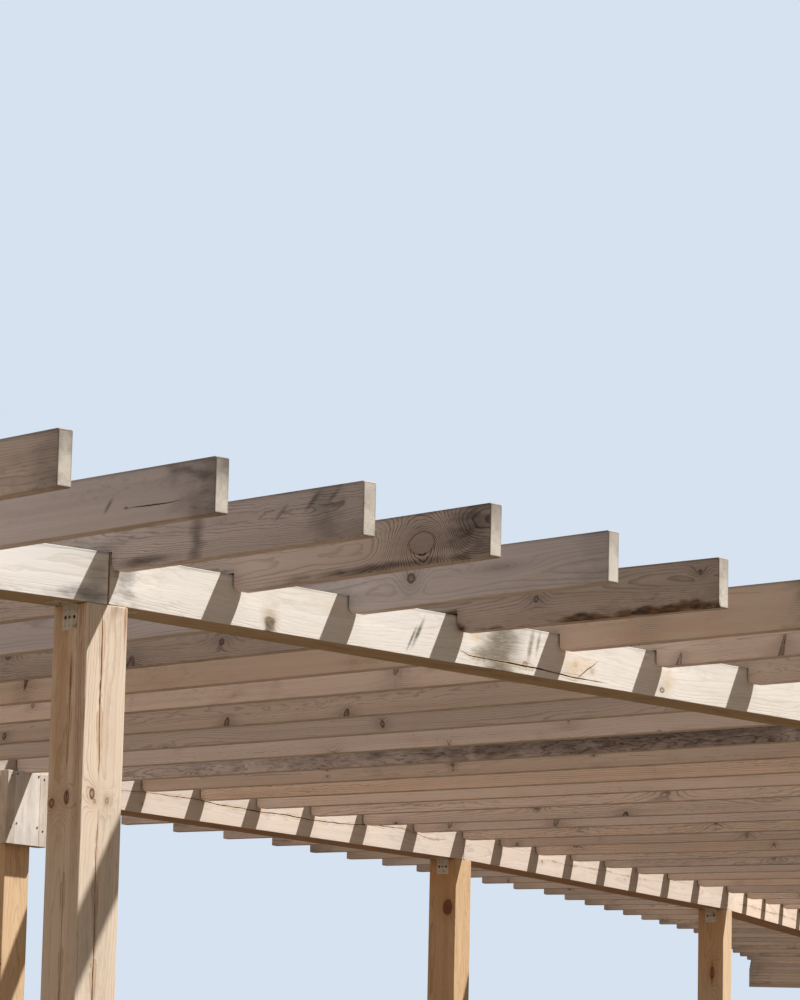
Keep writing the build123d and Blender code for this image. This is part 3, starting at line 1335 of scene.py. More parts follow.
class GrowthSheet(Sheet):
    """A Geometry Nodes tree with named inputs."""

    def __init__(self, name: str, inputs: dict[str, str]) -> None:
        """Make the tree.

        Args:
            name: Its name.
            inputs: Kind of each named input.
        """
        super().__init__(bpy.data.node_groups.new(name, "GeometryNodeTree"))
        self.keys = {}
        for label, kind in ({"Points": "Geometry"} | inputs).items():
            made = self.tree.interface.new_socket(label, in_out="INPUT", socket_type=f"NodeSocket{kind}")
            self.keys[label] = made.identifier
        self.tree.interface.new_socket("Result", in_out="OUTPUT", socket_type="NodeSocketGeometry")
        self.group_input = self.tree.nodes.new("NodeGroupInput")

    def given(self, label: str) -> Wire:
        """A named input of the tree."""
        return Wire(self, self.group_input.outputs[label])

    def attribute(self, name: str, kind: str = "FLOAT") -> Wire:
        """A named attribute of the geometry."""
        return self.add("GeometryNodeInputNamedAttribute", {"data_type": kind}, {"Name": name})

    def set_out(self) -> Wire:
        """A real copy of the pattern that every point names, turned as the point says."""
        patterns = self.add("GeometryNodeCollectionInfo", {},
                            {"Collection": self.given("Patterns"), "Separate Children": True,
                             "Reset Children": True})
        placed = self.add("GeometryNodeInstanceOnPoints", {},
                          {"Points": self.given("Points"), "Instance": patterns, "Pick Instance": True,
                           "Instance Index": self.attribute("pattern", "INT"),
                           "Rotation": self.attribute("facing", "FLOAT_VECTOR")})
        return self.add("GeometryNodeRealizeInstances", {}, {"Geometry": placed})

    def close(self, geometry: Wire) -> "GrowthSheet":
        """Give the result its material and end the tree.

        Args:
            geometry: What the tree has made so far.

        Returns:
            The sheet itself.
        """
        coated = self.add("GeometryNodeSetMaterial", {},
                          {"Geometry": geometry, "Material": self.given("Finish")})
        self.node("NodeGroupOutput", {}, {0: coated})
        return self

    def run(self, name: str, points: bpy.types.Mesh, inputs: dict[str, Any]) -> bpy.types.Mesh:
        """Run the tree on a mesh of points.

        Args:
            name: Name of the result.
            points: The points.
            inputs: Values of the named inputs.

        Returns:
            The plain result.
        """
        host = link(bpy.data.objects.new(f"{name}_points", points))
        modifier = host.modifiers.new("growth", "NODES")
        modifier.node_group = self.tree
        for label, value in inputs.items():
            modifier[self.keys[label]] = value
        depsgraph = bpy.context.evaluated_depsgraph_get()
        mesh = bpy.data.meshes.new_from_object(host.evaluated_get(depsgraph), preserve_all_data_layers=True,
                                               depsgraph=depsgraph)
        host.modifiers.clear()
        bpy.data.objects.remove(host)
        mesh.name = name
        return mesh


def rafter_tree() -> GrowthSheet:
    """Tree that sets a rafter on every point and bends, leans and lifts each a little.

    Returns:
        The sheet.
    """
    sheet = GrowthSheet("rafter_rows", {"Patterns": "Collection", "Finish": "Material", "Bow": "Float",
                                        "Length": "Float", "Lean Reach": "Float", "Lift Reach": "Float"})
    solid = sheet.set_out()
    along, _, _ = sheet.attribute("grain", "FLOAT_VECTOR").parts()
    sag = sheet.math("SINE", along * pi / sheet.given("Length")) * sheet.given("Bow")
    bend = sheet.scaled(sheet.attribute("bend", "FLOAT_VECTOR"), sag)
    fade = (1.0 - along / sheet.given("Lean Reach")).larger(0.0)
    lean = sheet.scaled(sheet.attribute("lean", "FLOAT_VECTOR"), fade)
    rise = (1.0 - along / sheet.given("Lift Reach")).larger(0.0)
    lift = sheet.vector(0.0, 0.0, sheet.attribute("lift") * rise)
    push = sheet.vector_math("ADD", sheet.vector_math("ADD", bend, lean), lift)
    return sheet.close(sheet.add("GeometryNodeSetPosition", {}, {"Geometry": solid, "Offset": push}))


class PatternStore:
    """A collection of patterns for a tree, which is emptied after use."""

    def __init__(self, name: str, patterns: Sequence[bpy.types.Object]) -> None:
        """Collect the patterns."""
        self.collection = bpy.data.collections.new(name)
        bpy.context.scene.collection.children.link(self.collection)
        for pattern in patterns:
            self.collection.objects.link(pattern)

    def clear(self) -> None:
        """Remove the patterns and their collection."""
        for pattern in list(self.collection.objects):
            bpy.data.objects.remove(pattern)
        bpy.data.collections.remove(self.collection)


def point_mesh(name: str, places: Sequence[Sequence[float]], facings: Sequence[Triple],
               picks: Sequence[int], more: dict[str, Sequence[Any]] | None = None) -> bpy.types.Mesh:
    """Points on which a tree sets its patterns.

    Args:
        name: Name of the mesh.
        places: Where the patterns go.
        facings: How each is turned.
        picks: Which pattern each point takes.
        more: Further values for the points.

    Returns:
        The mesh of points.
    """
    values = {"facing": np.array(facings)} | {label: np.array(row) for label, row in (more or {}).items()}
    mesh = plain_mesh(f"{name}_places", np.array(places), [], values)
    mesh.attributes.new("pattern", "INT", "POINT").data.foreach_set("value", list(picks))
    return mesh


class FittingTree:
    """Sets copies of a small fitting on many places, as one mesh."""

    def __init__(self) -> None:
        """Write the tree, which sets a fitting on every point."""
        sheet = GrowthSheet("fittings", {"Patterns": "Collection", "Finish": "Material"})
        self.sheet = sheet.close(sheet.set_out())

    def spread(self, name: str, pattern: bpy.types.Object, places: Sequence[Vector],
               facings: Sequence[Triple], finish: bpy.types.Material) -> bpy.types.Mesh:
        """Set a pattern on every place.

        Args:
            name: Name of the result.
            pattern: The fitting, which is removed afterwards.
            places: Where its copies go.
            facings: How each is turned.
            finish: Its material.

        Returns:
            All the copies.
        """
        store = PatternStore(f"{name}_pattern", [pattern])
        points = point_mesh(name, places, facings, [0] * len(places))
        mesh = self.sheet.run(name, points, {"Patterns": store.collection, "Finish": finish})
        store.clear()
        return mesh


@dataclass(frozen=True)
class RafterNote:
    """What is known of one rafter: how its outer end sits, and what its wood shows."""
    sideways: float = 0.0
    lift: float = 0.0
    waney: bool = False
    wood: dict[str, Any] = field(default_factory=dict)


@dataclass
class RafterRoof:
    """The fan of rafters, one piece for each bay and one past the last bay."""
    plan: RingPlan
    finish: bpy.types.Material
    notes: dict[int, RafterNote]
    seed: int = 41
    bow: float = 0.006
    uneven: float = 0.002
    most_uneven: float = 0.004
    waney_step: int = 3

    def build(self) -> None:
        """Make every rafter."""
        plan = self.plan
        shapes = [RafterPattern(plan, step, kinked=step == 0) for step in range(plan.rafters_per_bay)]
        shapes += [RafterPattern(plan, 0, kinked=False),
                   RafterPattern(plan, plan.rafters_per_bay, kinked=False),
                   RafterPattern(plan, self.waney_step, kinked=False, waney=True)]
        self.first_shape, self.last_shape, self.waney_shape = range(plan.rafters_per_bay, len(shapes))
        store = PatternStore("rafter_patterns", [shape.build(f"rafter_pattern_{index:02d}")
                                                 for index, shape in enumerate(shapes)])
        tree = rafter_tree()
        for bay in range(1, plan.bays + 1):
            self.make_bay(tree, store, f"rafters_bay_{bay}", bay, range(plan.rafters_per_bay))
        self.make_bay(tree, store, "end_rafter", plan.bays + 1, range(1))
        store.clear()

    def make_bay(self, tree: GrowthSheet, store: PatternStore, name: str, bay: int,
                 steps: range) -> bpy.types.Object:
        """Make the rafters of one bay.

        Args:
            tree: The rafter tree.
            store: The rafter patterns.
            name: The node that the piece stands for.
            bay: Number of the bay.
            steps: Steps across the bay.

        Returns:
            The piece.
        """
        plan = self.plan
        rows: dict[str, list[Any]] = {}
        facings, shapes = [], []
        for step in steps:
            number = (bay - 1) * plan.rafters_per_bay + step
            note = self.notes.get(number, RafterNote())
            rng = Random(self.seed * 1000 + number)
            turn = plan.post_turn(bay) + step * plan.bay_turn / plan.rafters_per_bay
            _, side = plan.axes(turn)
            damp = max(0.0, rng.gauss(-0.12, 0.16))
            drawn = draw_character(rng, (0.01, 0.1), (0.0045, 0.008), damp, (0.2, 0.9))
            chance_lift, usual = 0.0, {}
            if number not in self.notes:
                chance_lift = max(-self.most_uneven, min(self.most_uneven, rng.gauss(0, self.uneven)))
                usual = {"cast": drawn.cast * 0.6 + 0.9}
            values = replace(drawn, **(usual | note.wood)).named()
            values["bend"] = tuple(side * rng.uniform(-0.5, 0.5) + Vector((0, 0, rng.uniform(-1, 1))))
            values["lean"] = tuple(side * note.sideways)
            values["lift"] = note.lift + chance_lift
            values["number"] = float(number)
            for label, value in values.items():
                rows.setdefault(label, []).append(value)
            facings.append((0.0, 0.0, turn))
            shapes.append(self.shape_of(number, bay, step))
        places = [(0.0, plan.centre, plan.rafter_under)] * len(shapes)
        mesh = point_mesh(name, places, facings, shapes, rows)
        inner_notch = plan.tip(0) - plan.face_distance(Line.INNER, 0, 0)
        inputs = {"Patterns": store.collection, "Finish": self.finish, "Bow": self.bow,
                  "Length": plan.tip(0) - plan.heel(0), "Lean Reach": inner_notch,
                  "Lift Reach": plan.outer_overhang}
        return show(f"{name}_timbers", tree.run(name, mesh, inputs), [name])

    def shape_of(self, number: int, bay: int, step: int) -> int:
        """Index of the pattern that a rafter takes."""
        if number == 0:
            return self.first_shape
        if bay == self.plan.bays + 1:
            return self.last_shape
        return self.waney_shape if number in self.notes and self.notes[number].waney else step


@dataclass(frozen=True)
class AngleBracket:
    """A bent steel angle with rows of holes, as a flat sheet that is folded in code.

    Its heel lies on the Y axis, one leg along X and one along -Z; outer is the side that
    lies on the timbers.
    """
    leg: float = 0.07
    width: float = 0.06
    gauge: float = 0.0025
    bend: float = 0.004
    rows: tuple[float, float, float] = (0.0162, 0.036, 0.0585)
    columns: tuple[float, float, float] = (-0.018, 0.0, 0.018)
    row_edges: tuple[float, float] = (0.0255, 0.047)
    column_edge: float = 0.009
    big: float = 0.0055
    small: float = 0.0025
    folds: int = 6
    rim_points: int = 16

    def fold_point(self, from_heel: float, across: float, depth: float) -> Triple:
        """Where a point of the flat sheet goes.

        Args:
            from_heel: Distance from the fold's middle line, below zero on the upright leg.
            across: Place across the sheet.
            depth: Depth under the outer surface.

        Returns:
            The folded place.
        """
        reach = self.bend + self.gauge
        if from_heel <= -reach:
            return (depth, across, from_heel)
        if from_heel >= reach:
            return (from_heel, across, -depth)
        angle = pi - (from_heel + reach) / (2 * reach) * (pi / 2)
        return (reach + (reach - depth) * cos(angle), across, -reach + (reach - depth) * sin(angle))

    def flat_sheet(self) -> tuple[list[tuple[float, float]], list[tuple[int, ...]]]:
        """Points and faces of the flat sheet, with its holes left open."""
        index: dict[tuple[float, float], int] = {}
        faces: list[tuple[int, ...]] = []

        def at(from_heel: float, across: float) -> int:
            """Number of the point at a place."""
            return index.setdefault((round(from_heel, 6), round(across, 6)), len(index))

        reach = self.bend + self.gauge
        row_edges = (reach, *self.row_edges, self.leg)
        column_edges = (-self.width / 2, -self.column_edge, self.column_edge, self.width / 2)
        for sign in (-1, 1):
            for row, centre in enumerate(self.rows):
                near, far = row_edges[row], row_edges[row + 1]
                for column, middle in enumerate(self.columns):
                    left, right = column_edges[column], column_edges[column + 1]
                    size = self.big if row == 1 and column != 1 else self.small
                    corners = [(near, left), (far, left), (far, right), (near, right)]
                    faces += self.holed_cell(at, sign, corners, (centre, middle), size)
        per_side = self.rim_points // 4
        across_stops = [float(stop) for first, last in zip(column_edges, column_edges[1:])
                        for stop in np.linspace(first, last, per_side + 1)[:-1]] + [self.width / 2]
        fold_stops = np.linspace(-reach, reach, self.folds + 1)
        for first, last in zip(fold_stops, fold_stops[1:]):
            for near, far in zip(across_stops, across_stops[1:]):
                faces.append((at(first, near), at(last, near), at(last, far), at(first, far)))
        return list(index), faces

    def holed_cell(self, at: Callable[[float, float], int], sign: int, corners: list[tuple[float, float]],
                   centre: tuple[float, float], size: float) -> list[tuple[int, ...]]:
        """Faces between the border of one cell and the round hole in it.

        Args:
            at: Gives the number of the point at a place.
            sign: Which leg the cell is on.
            corners: Corners of the cell.
            centre: Centre of the hole.
            size: Radius of the hole.

        Returns:
            A ring of faces.
        """
        border, rim = [], []
        per_side = self.rim_points // 4
        for here, there in zip(corners, corners[1:] + corners[:1]):
            for stop in range(per_side):
                border.append([a + (b - a) * (stop / per_side) for a, b in zip(here, there)])
        start = atan2(corners[0][1] - centre[1], corners[0][0] - centre[0])
        for count in range(self.rim_points):
            angle = start + count * 2 * pi / self.rim_points
            rim.append((centre[0] + size * cos(angle), centre[1] + size * sin(angle)))
        outside = [at(sign * place[0], place[1]) for place in border]
        inside = [at(sign * place[0], place[1]) for place in rim]
        return [(outside[k - 1], outside[k], inside[k], inside[k - 1]) for k in range(self.rim_points)]

    def build(self, name: str) -> bpy.types.Object:
        """Fold the sheet and close its edges.

        Args:
            name: Name of the pattern.

        Returns:
            An object that isn't shown.
        """
        flat, faces = self.flat_sheet()
        count = len(flat)
        points = [self.fold_point(*place, depth) for depth in (0.0, self.gauge) for place in flat]
        used: dict[tuple[int, int], int] = {}
        for face in faces:
            for here, there in zip(face, face[1:] + face[:1]):
                key = (min(here, there), max(here, there))
                used[key] = used.get(key, 0) + 1
        walls = [(a, b, b + count, a + count) for (a, b), times in used.items() if times == 1]
        solid = faces + [tuple(point + count for point in reversed(face)) for face in faces] + walls
        mesh = plain_mesh(name, np.array(points), solid, {})
        shell = bmesh.new()
        shell.from_mesh(mesh)
        bmesh.ops.recalc_face_normals(shell, faces=shell.faces)
        shell.to_mesh(mesh)
        shell.free()
        return bpy.data.objects.new(name, mesh)


def turned_pattern(name: str, profile: Sequence[tuple[float, float]]) -> bpy.types.Object:
    """A small fitting that is turned on the X axis, such as a screw head.

    Args:
        name: Name of the pattern.
        profile: Rows of distance along X and radius.

    Returns:
        An object that isn't shown.
    """
    turns = np.linspace(0, 2 * pi, TURNED_SIDES, endpoint=False)
    circle = np.stack([turns * 0.0, np.cos(turns), np.sin(turns)], axis=1)
    rings = np.array([circle * radius + [along, 0, 0] for along, radius in profile])
    return bpy.data.objects.new(name, plain_mesh(name, rings.reshape(-1, 3), skin(rings), {}))


# Turned fittings: sides of their circles, and rows of distance off the surface and radius
TURNED_SIDES = 12
SCREW_HEAD = ((-0.0004, 0.0040), (0.0006, 0.0046), (0.0016, 0.0041), (0.0023, 0.0026), (0.0024, 0.0018),
              (0.0012, 0.0015))
# The next profile is a dark cup that paints the shade inside each big bracket hole.
HOLE_SHADE_CUP = ((-0.0003, 0.0049), (0.0004, 0.0052), (0.0006, 0.0046), (0.0003, 0.0020))


@dataclass
class BracketLine:
    """The angle brackets of one line, with their screws and dark cups that paint the shade in their open
    holes.
    """
    plan: RingPlan
    line: Line
    steel: bpy.types.Material
    screw_steel: bpy.types.Material
    dark: bpy.types.Material
    bracket: AngleBracket = AngleBracket()

    def build(self) -> None:
        """Make the brackets, then their screws and the dark cups of painted shade in their big holes."""
        plan = self.plan
        spots = [(plan.line_turn(self.line, number), 1) for number in range(1, plan.bays + 1)]
        spots += [(plan.line_turn(self.line, number), -1) for number in range(2, plan.bays + 2)]
        heels = [self.heel(turn, sign) for turn, sign in spots]
        facings = [(0.0, 0.0, turn if sign > 0 else turn + pi) for turn, sign in spots]
        name = f"{self.line.value}_brackets"
        tree = FittingTree()
        mesh = tree.spread(name, self.bracket.build("bracket_pattern"), heels, facings, self.steel)
        show(f"{name}_plates", mesh, [name])
        middle_row = self.bracket.rows[1]
        left, middle, right = ((middle_row, column) for column in self.bracket.columns)
        self.scatter(tree, spots, f"{name}_screws", SCREW_HEAD, self.screw_steel, self.bracket.gauge,
                     [middle])
        self.scatter(tree, spots, f"{name}_hole_backs", HOLE_SHADE_CUP, self.dark, 0.0, [left, right])

    def heel(self, turn: float, sign: int) -> Vector:
        """Middle of a bracket's heel, on the right or left of a post."""
        plan = self.plan
        return plan.spot(turn, plan.radius(self.line) - plan.post_size / 2, sign * plan.post_size / 2,
                         plan.post_height)

    def scatter(self, tree: FittingTree, spots: Sequence[tuple[float, int]], name: str,
                profile: Sequence[tuple[float, float]], finish: bpy.types.Material, depth: float,
                holes: Sequence[tuple[float, float]]) -> bpy.types.Object:
        """Set a small fitting on the same holes of every leg.

        Args:
            tree: Sets the fittings.
            spots: Turn and side of each bracket.
            name: Name of the piece.
            profile: Profile of the fitting.
            finish: Its material.
            depth: How far it sits off the timber.
            holes: The holes, by distance from the heel and across.

        Returns:
            The piece.
        """
        places, facings = [], []
        for turn, sign in spots:
            out, side = self.plan.axes(turn)
            heel = self.heel(turn, sign)
            for from_heel, across in holes:
                shift = out * (-sign * across)
                places.append(heel + side * (sign * depth) + shift + Vector((0, 0, -from_heel)))
                facings.append((0.0, 0.0, turn if sign > 0 else turn + pi))
                places.append(heel + side * (sign * from_heel) + shift + Vector((0, 0, -depth)))
                facings.append((0.0, pi / 2, turn))
        mesh = tree.spread(name, turned_pattern(f"{name}_shape", profile), places, facings, finish)
        return show(name, mesh)


@dataclass
class HeadBoards:
    """The board and two battens that are screwed upright over one inner beam joint.

    A screw's place is its distance to the right of the joint and below the rafters' underside.
    """
    plan: RingPlan
    wood: WoodFinish
    screw_steel: bpy.types.Material
    post: int = 3
    width: float = 0.14
    batten: float = 0.045
    thickness: float = 0.045
    drop: float = 0.2
    arris: float = 0.002
    screws: tuple[tuple[float, float], ...] = (
        (-0.0611, 0.012), (0.0600, 0.012), (-0.0580, 0.206), (0.0600, 0.214),
        (-0.0925, 0.020), (0.0925, 0.020), (-0.0925, 0.226), (0.0925, 0.226))

    def build(self) -> None:
        """Make the boards and their screws."""
        height = self.plan.rafter_under - self.plan.post_height + self.drop
        turn = self.plan.line_turn(Line.INNER, self.post)
        offset = (self.width + self.batten) / 2
        self.make_board("head_board", turn, 0.0, self.width, height)
        self.make_board("head_batten_left", turn, -offset, self.batten, height)
        self.make_board("head_batten_right", turn, offset, self.batten, height)
        front = self.plan.radius(Line.INNER) + self.thickness
        places = [self.plan.spot(turn, front, sideways, self.plan.rafter_under - below)
                  for sideways, below in self.screws]
        facings = [(0.0, 0.0, turn - pi / 2)] * len(places)
        pattern = turned_pattern("board_screw_shape", SCREW_HEAD)
        mesh = FittingTree().spread("board_screws", pattern, places, facings, self.screw_steel)
        show("head_board_screws", mesh)

    def make_board(self, name: str, turn: float, middle: float, width: float,
                   height: float) -> bpy.types.Object:
        """Make one board.

        Args:
            name: The node that it stands for.
            turn: Turn of the post behind it.
            middle: How far its middle lies to the right of the post's.
            width: Its width.
            height: Its height.

        Returns:
            The piece.
        """
        plan = self.plan
        rng = Random(name)
        drawn = draw_character(rng, (0.03, 0.08), (0.005, 0.008))
        tone, cast = (0.2, 0.0) if name == "head_board" else (-0.9, 1.0)
        character = replace(drawn, tone=tone, cast=cast, plain=0.1, tip_soil=0.35)
        timber = CarvedTimber(width, self.thickness, self.arris)
        carved = timber.carve(height, (), rng)
        out, side = plan.axes(turn)
        low = plan.post_height - self.drop
        origin = plan.spot(turn, plan.radius(Line.INNER) + self.thickness / 2, middle, low)
        finish = replace(self.wood, name=f"{name}_wood", half_across=width / 2,
                         half_up=self.thickness / 2).build()
        return show_carved(name, carved, (origin, UP, -side, out), character, finish)


@dataclass
class Studio:
    """Floor, light and camera."""
    plan: RingPlan
    lens: float = 145.658
    sensor: float = 36.0
    eye: Triple = (-18.3091, -7.3463, 1.4629)
    heading: float = radians(62.8957)
    pitch: float = radians(9.7813)
    roll: float = radians(-1.2531)
    sun_turn: float = radians(41.9)
    sun_height: float = radians(59.4)
    sun_strength: float = 7.9
    sun_angle: float = radians(1.1)
    sun_colour: Triple = (1.0, 0.98, 0.95)
    sky_strength: float = 0.185
    sky: Colour = (0.88, 0.935, 0.965, 1.0)
    backdrop: Colour = paint(214, 226, 240)
    floor_bounce: Colour = paint(84, 72, 58)
    floor_seen: Colour = paint(172, 171, 168)
    floor_reach: float = 420.0
    clipping: tuple[float, float] = (0.1, 1000.0)

    def build(self) -> None:
        """Make the studio."""
        self.make_floor()
        self.make_sky()
        self.make_sun()
        self.make_camera()

    def make_floor(self) -> None:
        """A plain pale floor, level with the feet of the posts."""
        mesh = bpy.data.meshes.new("floor")
        shell = bmesh.new()
        bmesh.ops.create_circle(shell, cap_ends=True, segments=96, radius=self.floor_reach)
        shell.to_mesh(mesh)
        shell.free()
        floor = link(bpy.data.objects.new("floor", mesh))
        sheet = SurfaceSheet("pale_floor")
        seen = sheet.add("ShaderNodeLightPath", {}, {}, "Is Camera Ray")
        colour = sheet.mix(self.floor_bounce, self.floor_seen, seen)
        mesh.materials.append(sheet.finish(colour, 0.9, shine=0.1))

    def make_sky(self) -> None:
        """Even light from all round, and a pale backdrop for the camera."""
        world = bpy.data.worlds.new("studio")
        world.use_nodes = True
        bpy.context.scene.world = world
        sheet = Sheet(world.node_tree)
        path = sheet.node("ShaderNodeLightPath", {}, {})
        seen = Wire(sheet, path.outputs["Is Camera Ray"])
        for name in ("Is Glossy Ray", "Is Transmission Ray"):
            seen = seen.larger(Wire(sheet, path.outputs[name]))
        colour = sheet.mix(self.sky, self.backdrop, seen)
        strength = self.sky_strength + (1.0 - self.sky_strength) * seen
        light = sheet.add("ShaderNodeBackground", {}, {"Color": colour, "Strength": strength})
        sheet.node("ShaderNodeOutputWorld", {}, {"Surface": light})

    def make_sun(self) -> None:
        """One soft key light from the right, high up."""
        lamp = bpy.data.lights.new("key_light", "SUN")
        lamp.energy = self.sun_strength
        lamp.angle = self.sun_angle
        lamp.color = self.sun_colour
        sun = link(bpy.data.objects.new("key_light", lamp))
        out, _ = self.plan.axes(self.sun_turn)
        towards = out * cos(self.sun_height) + Vector((0, 0, sin(self.sun_height)))
        sun.rotation_mode = "QUATERNION"
        sun.rotation_quaternion = towards.to_track_quat("Z", "Y")

    def make_camera(self) -> None:
        """The camera, at eye height, looking up along the roof."""
        lens = bpy.data.cameras.new("camera")
        lens.lens, lens.sensor_width, lens.sensor_fit = self.lens, self.sensor, "AUTO"
        lens.clip_start, lens.clip_end = self.clipping
        camera = link(bpy.data.objects.new("camera", lens))
        right = Vector((1, 0, 0))
        up = Vector((0, -sin(self.pitch), cos(self.pitch)))
        forward = Vector((0, cos(self.pitch), sin(self.pitch)))
        across = right * cos(self.roll) - up * sin(self.roll)
        upward = right * sin(self.roll) + up * cos(self.roll)
        turn = Matrix((across, upward, -forward)).transposed().to_4x4()
        camera.matrix_world = Matrix.Translation(self.eye) @ Matrix.Rotation(-self.heading, 4, "Z") @ turn
        bpy.context.scene.camera = camera
        bpy.context.scene.view_settings.view_transform = "Standard"


BEAM_WOOD = WoodFinish(
    "beam_wood", early=paint(247, 239, 229), late=paint(196, 170, 142), knot=paint(128, 92, 60),
    grey=paint(130, 124, 115), under=paint(192, 158, 108), end=paint(214, 200, 176),
    mould=paint(108, 102, 94), gold=paint(218, 194, 158), rust=paint(150, 112, 72),
    blotch=paint(238, 220, 186), lines=0.45, rusty=0.6, blotches=0.2, knot_size=0.009,
    knot_chance=0.3, streaks=0.2)
# A darker copy of the beam wood for the inner line: partly its own tone, partly painted shade for the roof
# that stands over it.
INNER_BEAM_WOOD = replace(
    BEAM_WOOD, name="inner_beam_wood", early=paint(210, 197, 186), late=paint(158, 122, 96),
    under=paint(182, 132, 92), blotch=paint(206, 176, 142), lines=0.6, streaks=0.26)
POST_WOOD = WoodFinish(
    "post_wood", early=paint(240, 220, 197), late=paint(158, 102, 58), knot=paint(92, 48, 28),
    grey=paint(134, 120, 103), sun_side_grey_shade=0.5, under=paint(180, 136, 84), end=paint(206, 178, 140),
    rust=paint(140, 84, 42), mould=paint(120, 100, 80), gold=paint(204, 156, 100),
    blotch=paint(230, 194, 148), lines=0.72, knot_chance=0.3, arris_soil=0.0, streaks=0.34)
INNER_POST_WOOD = replace(
    POST_WOOD, name="inner_post_wood", early=paint(222, 190, 152), late=paint(142, 82, 42),
    blotch=paint(206, 156, 100), lines=0.8)
BOARD_WOOD = replace(
    BEAM_WOOD, name="board_wood", early=paint(242, 234, 226), late=paint(160, 134, 108),
    arris_soil=0.3, streaks=0.3)

# Colour of the painted leaf shadows on the near beam.
LEAF_SHADOW = paint(104, 98, 88)
WARM = paint(222, 182, 122)
# Darker warm colour painted over the upper left faces of posts as shade.
LEFT_FACE_SHADE = paint(206, 142, 78)
STAIN_GREY = paint(138, 128, 113)
SOIL = paint(82, 68, 57)
SLIT_DARK = paint(44, 30, 24)

# Marks seen in the photo, by kind and face
STAIN, KNOT, SLIT = MarkKind
BEAM_FRONT, POST_FRONT, LEFT_FACE = Side.MINUS, Side.OVER, Side.PLUS
NEAR_BEAM_MARKS = (
    Mark(STAIN, BEAM_FRONT, -1.244, -0.030, (0.040, 0.050), 0.8, paint(184, 160, 122), 0.9),
    Mark(KNOT, BEAM_FRONT, -1.248, -0.049, (0.008, 0.006), 0.4),
    Mark(STAIN, BEAM_FRONT, -1.248, -0.048, (0.018, 0.015), 1.0, paint(74, 62, 42), 3.0),
    # Painted shadow: two thin slanting dark strokes for the shadow of leaves on the beam front.
    Mark(STAIN, BEAM_FRONT, -0.655, -0.020, (0.007, 0.042), 1.2, LEAF_SHADOW, 0.5, 0.55),
    Mark(STAIN, BEAM_FRONT, -0.628, 0.000, (0.010, 0.055), 1.2, LEAF_SHADOW, 0.5, 0.55),
    Mark(STAIN, BEAM_FRONT, -0.262, 0.004, (0.098, 0.300), 1.35, STAIN_GREY, 0.45, 0.1),
    Mark(STAIN, BEAM_FRONT, -0.345, -0.030, (0.050, 0.026), 1.1, STAIN_GREY, 0.9),
    Mark(KNOT, BEAM_FRONT, -0.300, -0.034, (0.026, 0.009), 0.15),
    Mark(STAIN, BEAM_FRONT, -0.128, 0.012, (0.013, 0.060), 1.1, STAIN_GREY, 0.5, 0.25),
    Mark(STAIN, BEAM_FRONT, -0.092, 0.028, (0.009, 0.042), 1.0, STAIN_GREY, 0.5, 0.25),
    Mark(KNOT, BEAM_FRONT, -0.150, -0.040, (0.012, 0.010), 0.8),
    Mark(STAIN, BEAM_FRONT, -0.379, 0.031, (0.035, 0.035), 0.7, WARM, 0.5),
    Mark(STAIN, BEAM_FRONT, 0.090, -0.020, (0.085, 0.042), 0.5, WARM, 0.8),
    Mark(KNOT, BEAM_FRONT, 0.082, -0.015, (0.007, 0.006), 0.35),
    Mark(KNOT, BEAM_FRONT, 0.163, -0.027, (0.007, 0.006), 0.35),
    Mark(STAIN, BEAM_FRONT, 0.530, -0.020, (0.045, 0.040), 0.5, WARM, 0.8),
    Mark(KNOT, BEAM_FRONT, 0.504, -0.046, (0.012, 0.009), 1.0),
    Mark(SLIT, BEAM_FRONT, 0.135, -0.027, (0.060, 0.0022), 0.9, lean=0.62),
    Mark(STAIN, BEAM_FRONT, -1.806, 0.000, (0.045, 0.075), 0.8, paint(112, 110, 102), 1.7),
    Mark(STAIN, BEAM_FRONT, -1.861, 0.0, (0.0025, 0.120), 1.0, paint(166, 118, 72), 0.2),
    Mark(STAIN, BEAM_FRONT, -1.000, 0.030, (0.070, 0.030), 0.35, WARM, 0.9),
)
LEFT_BEAM_MARKS = (
    Mark(STAIN, BEAM_FRONT, 1.785, -0.050, (0.105, 0.026), 0.85, paint(96, 94, 90), 0.9),
    Mark(STAIN, BEAM_FRONT, 1.830, 0.0, (0.040, 0.080), 0.45, paint(132, 126, 114), 1.1),
    Mark(STAIN, BEAM_FRONT, 1.861, 0.0, (0.0022, 0.120), 0.8, paint(124, 94, 66), 0.2),
)
NEAR_POST_MARKS = (
    Mark(KNOT, POST_FRONT, 2.494, 0.033, (0.015, 0.009), 1.0),
    Mark(KNOT, POST_FRONT, 2.478, -0.020, (0.009, 0.007), 0.45),
    Mark(KNOT, POST_FRONT, 2.474, 0.024, (0.006, 0.005), 0.6),
    Mark(KNOT, LEFT_FACE, 2.485, 0.010, (0.018, 0.010), 1.0),
    Mark(SLIT, LEFT_FACE, 2.485, 0.010, (0.016, 0.0022), 0.9),
    Mark(KNOT, LEFT_FACE, 2.472, -0.050, (0.012, 0.010), 1.0),
    # Painted shade: the upper left face, which is in shade, is laid over with a darker, warmer brown.
    Mark(STAIN, LEFT_FACE, 2.780, -0.028, (0.500, 0.050), 0.75, paint(188, 140, 82), 0.4),
    Mark(STAIN, LEFT_FACE, 2.700, 0.048, (0.700, 0.024), 0.6, paint(160, 108, 62), 0.4),
    Mark(STAIN, LEFT_FACE, 2.800, 0.010, (0.075, 0.006), 1.0, paint(150, 88, 40), 0.2),
    Mark(STAIN, POST_FRONT, 2.960, -0.062, (0.090, 0.007), 0.9, paint(176, 116, 62), 0.6),
    Mark(STAIN, POST_FRONT, 2.990, -0.030, (0.022, 0.026), 0.5, paint(150, 110, 70), 0.9),
)
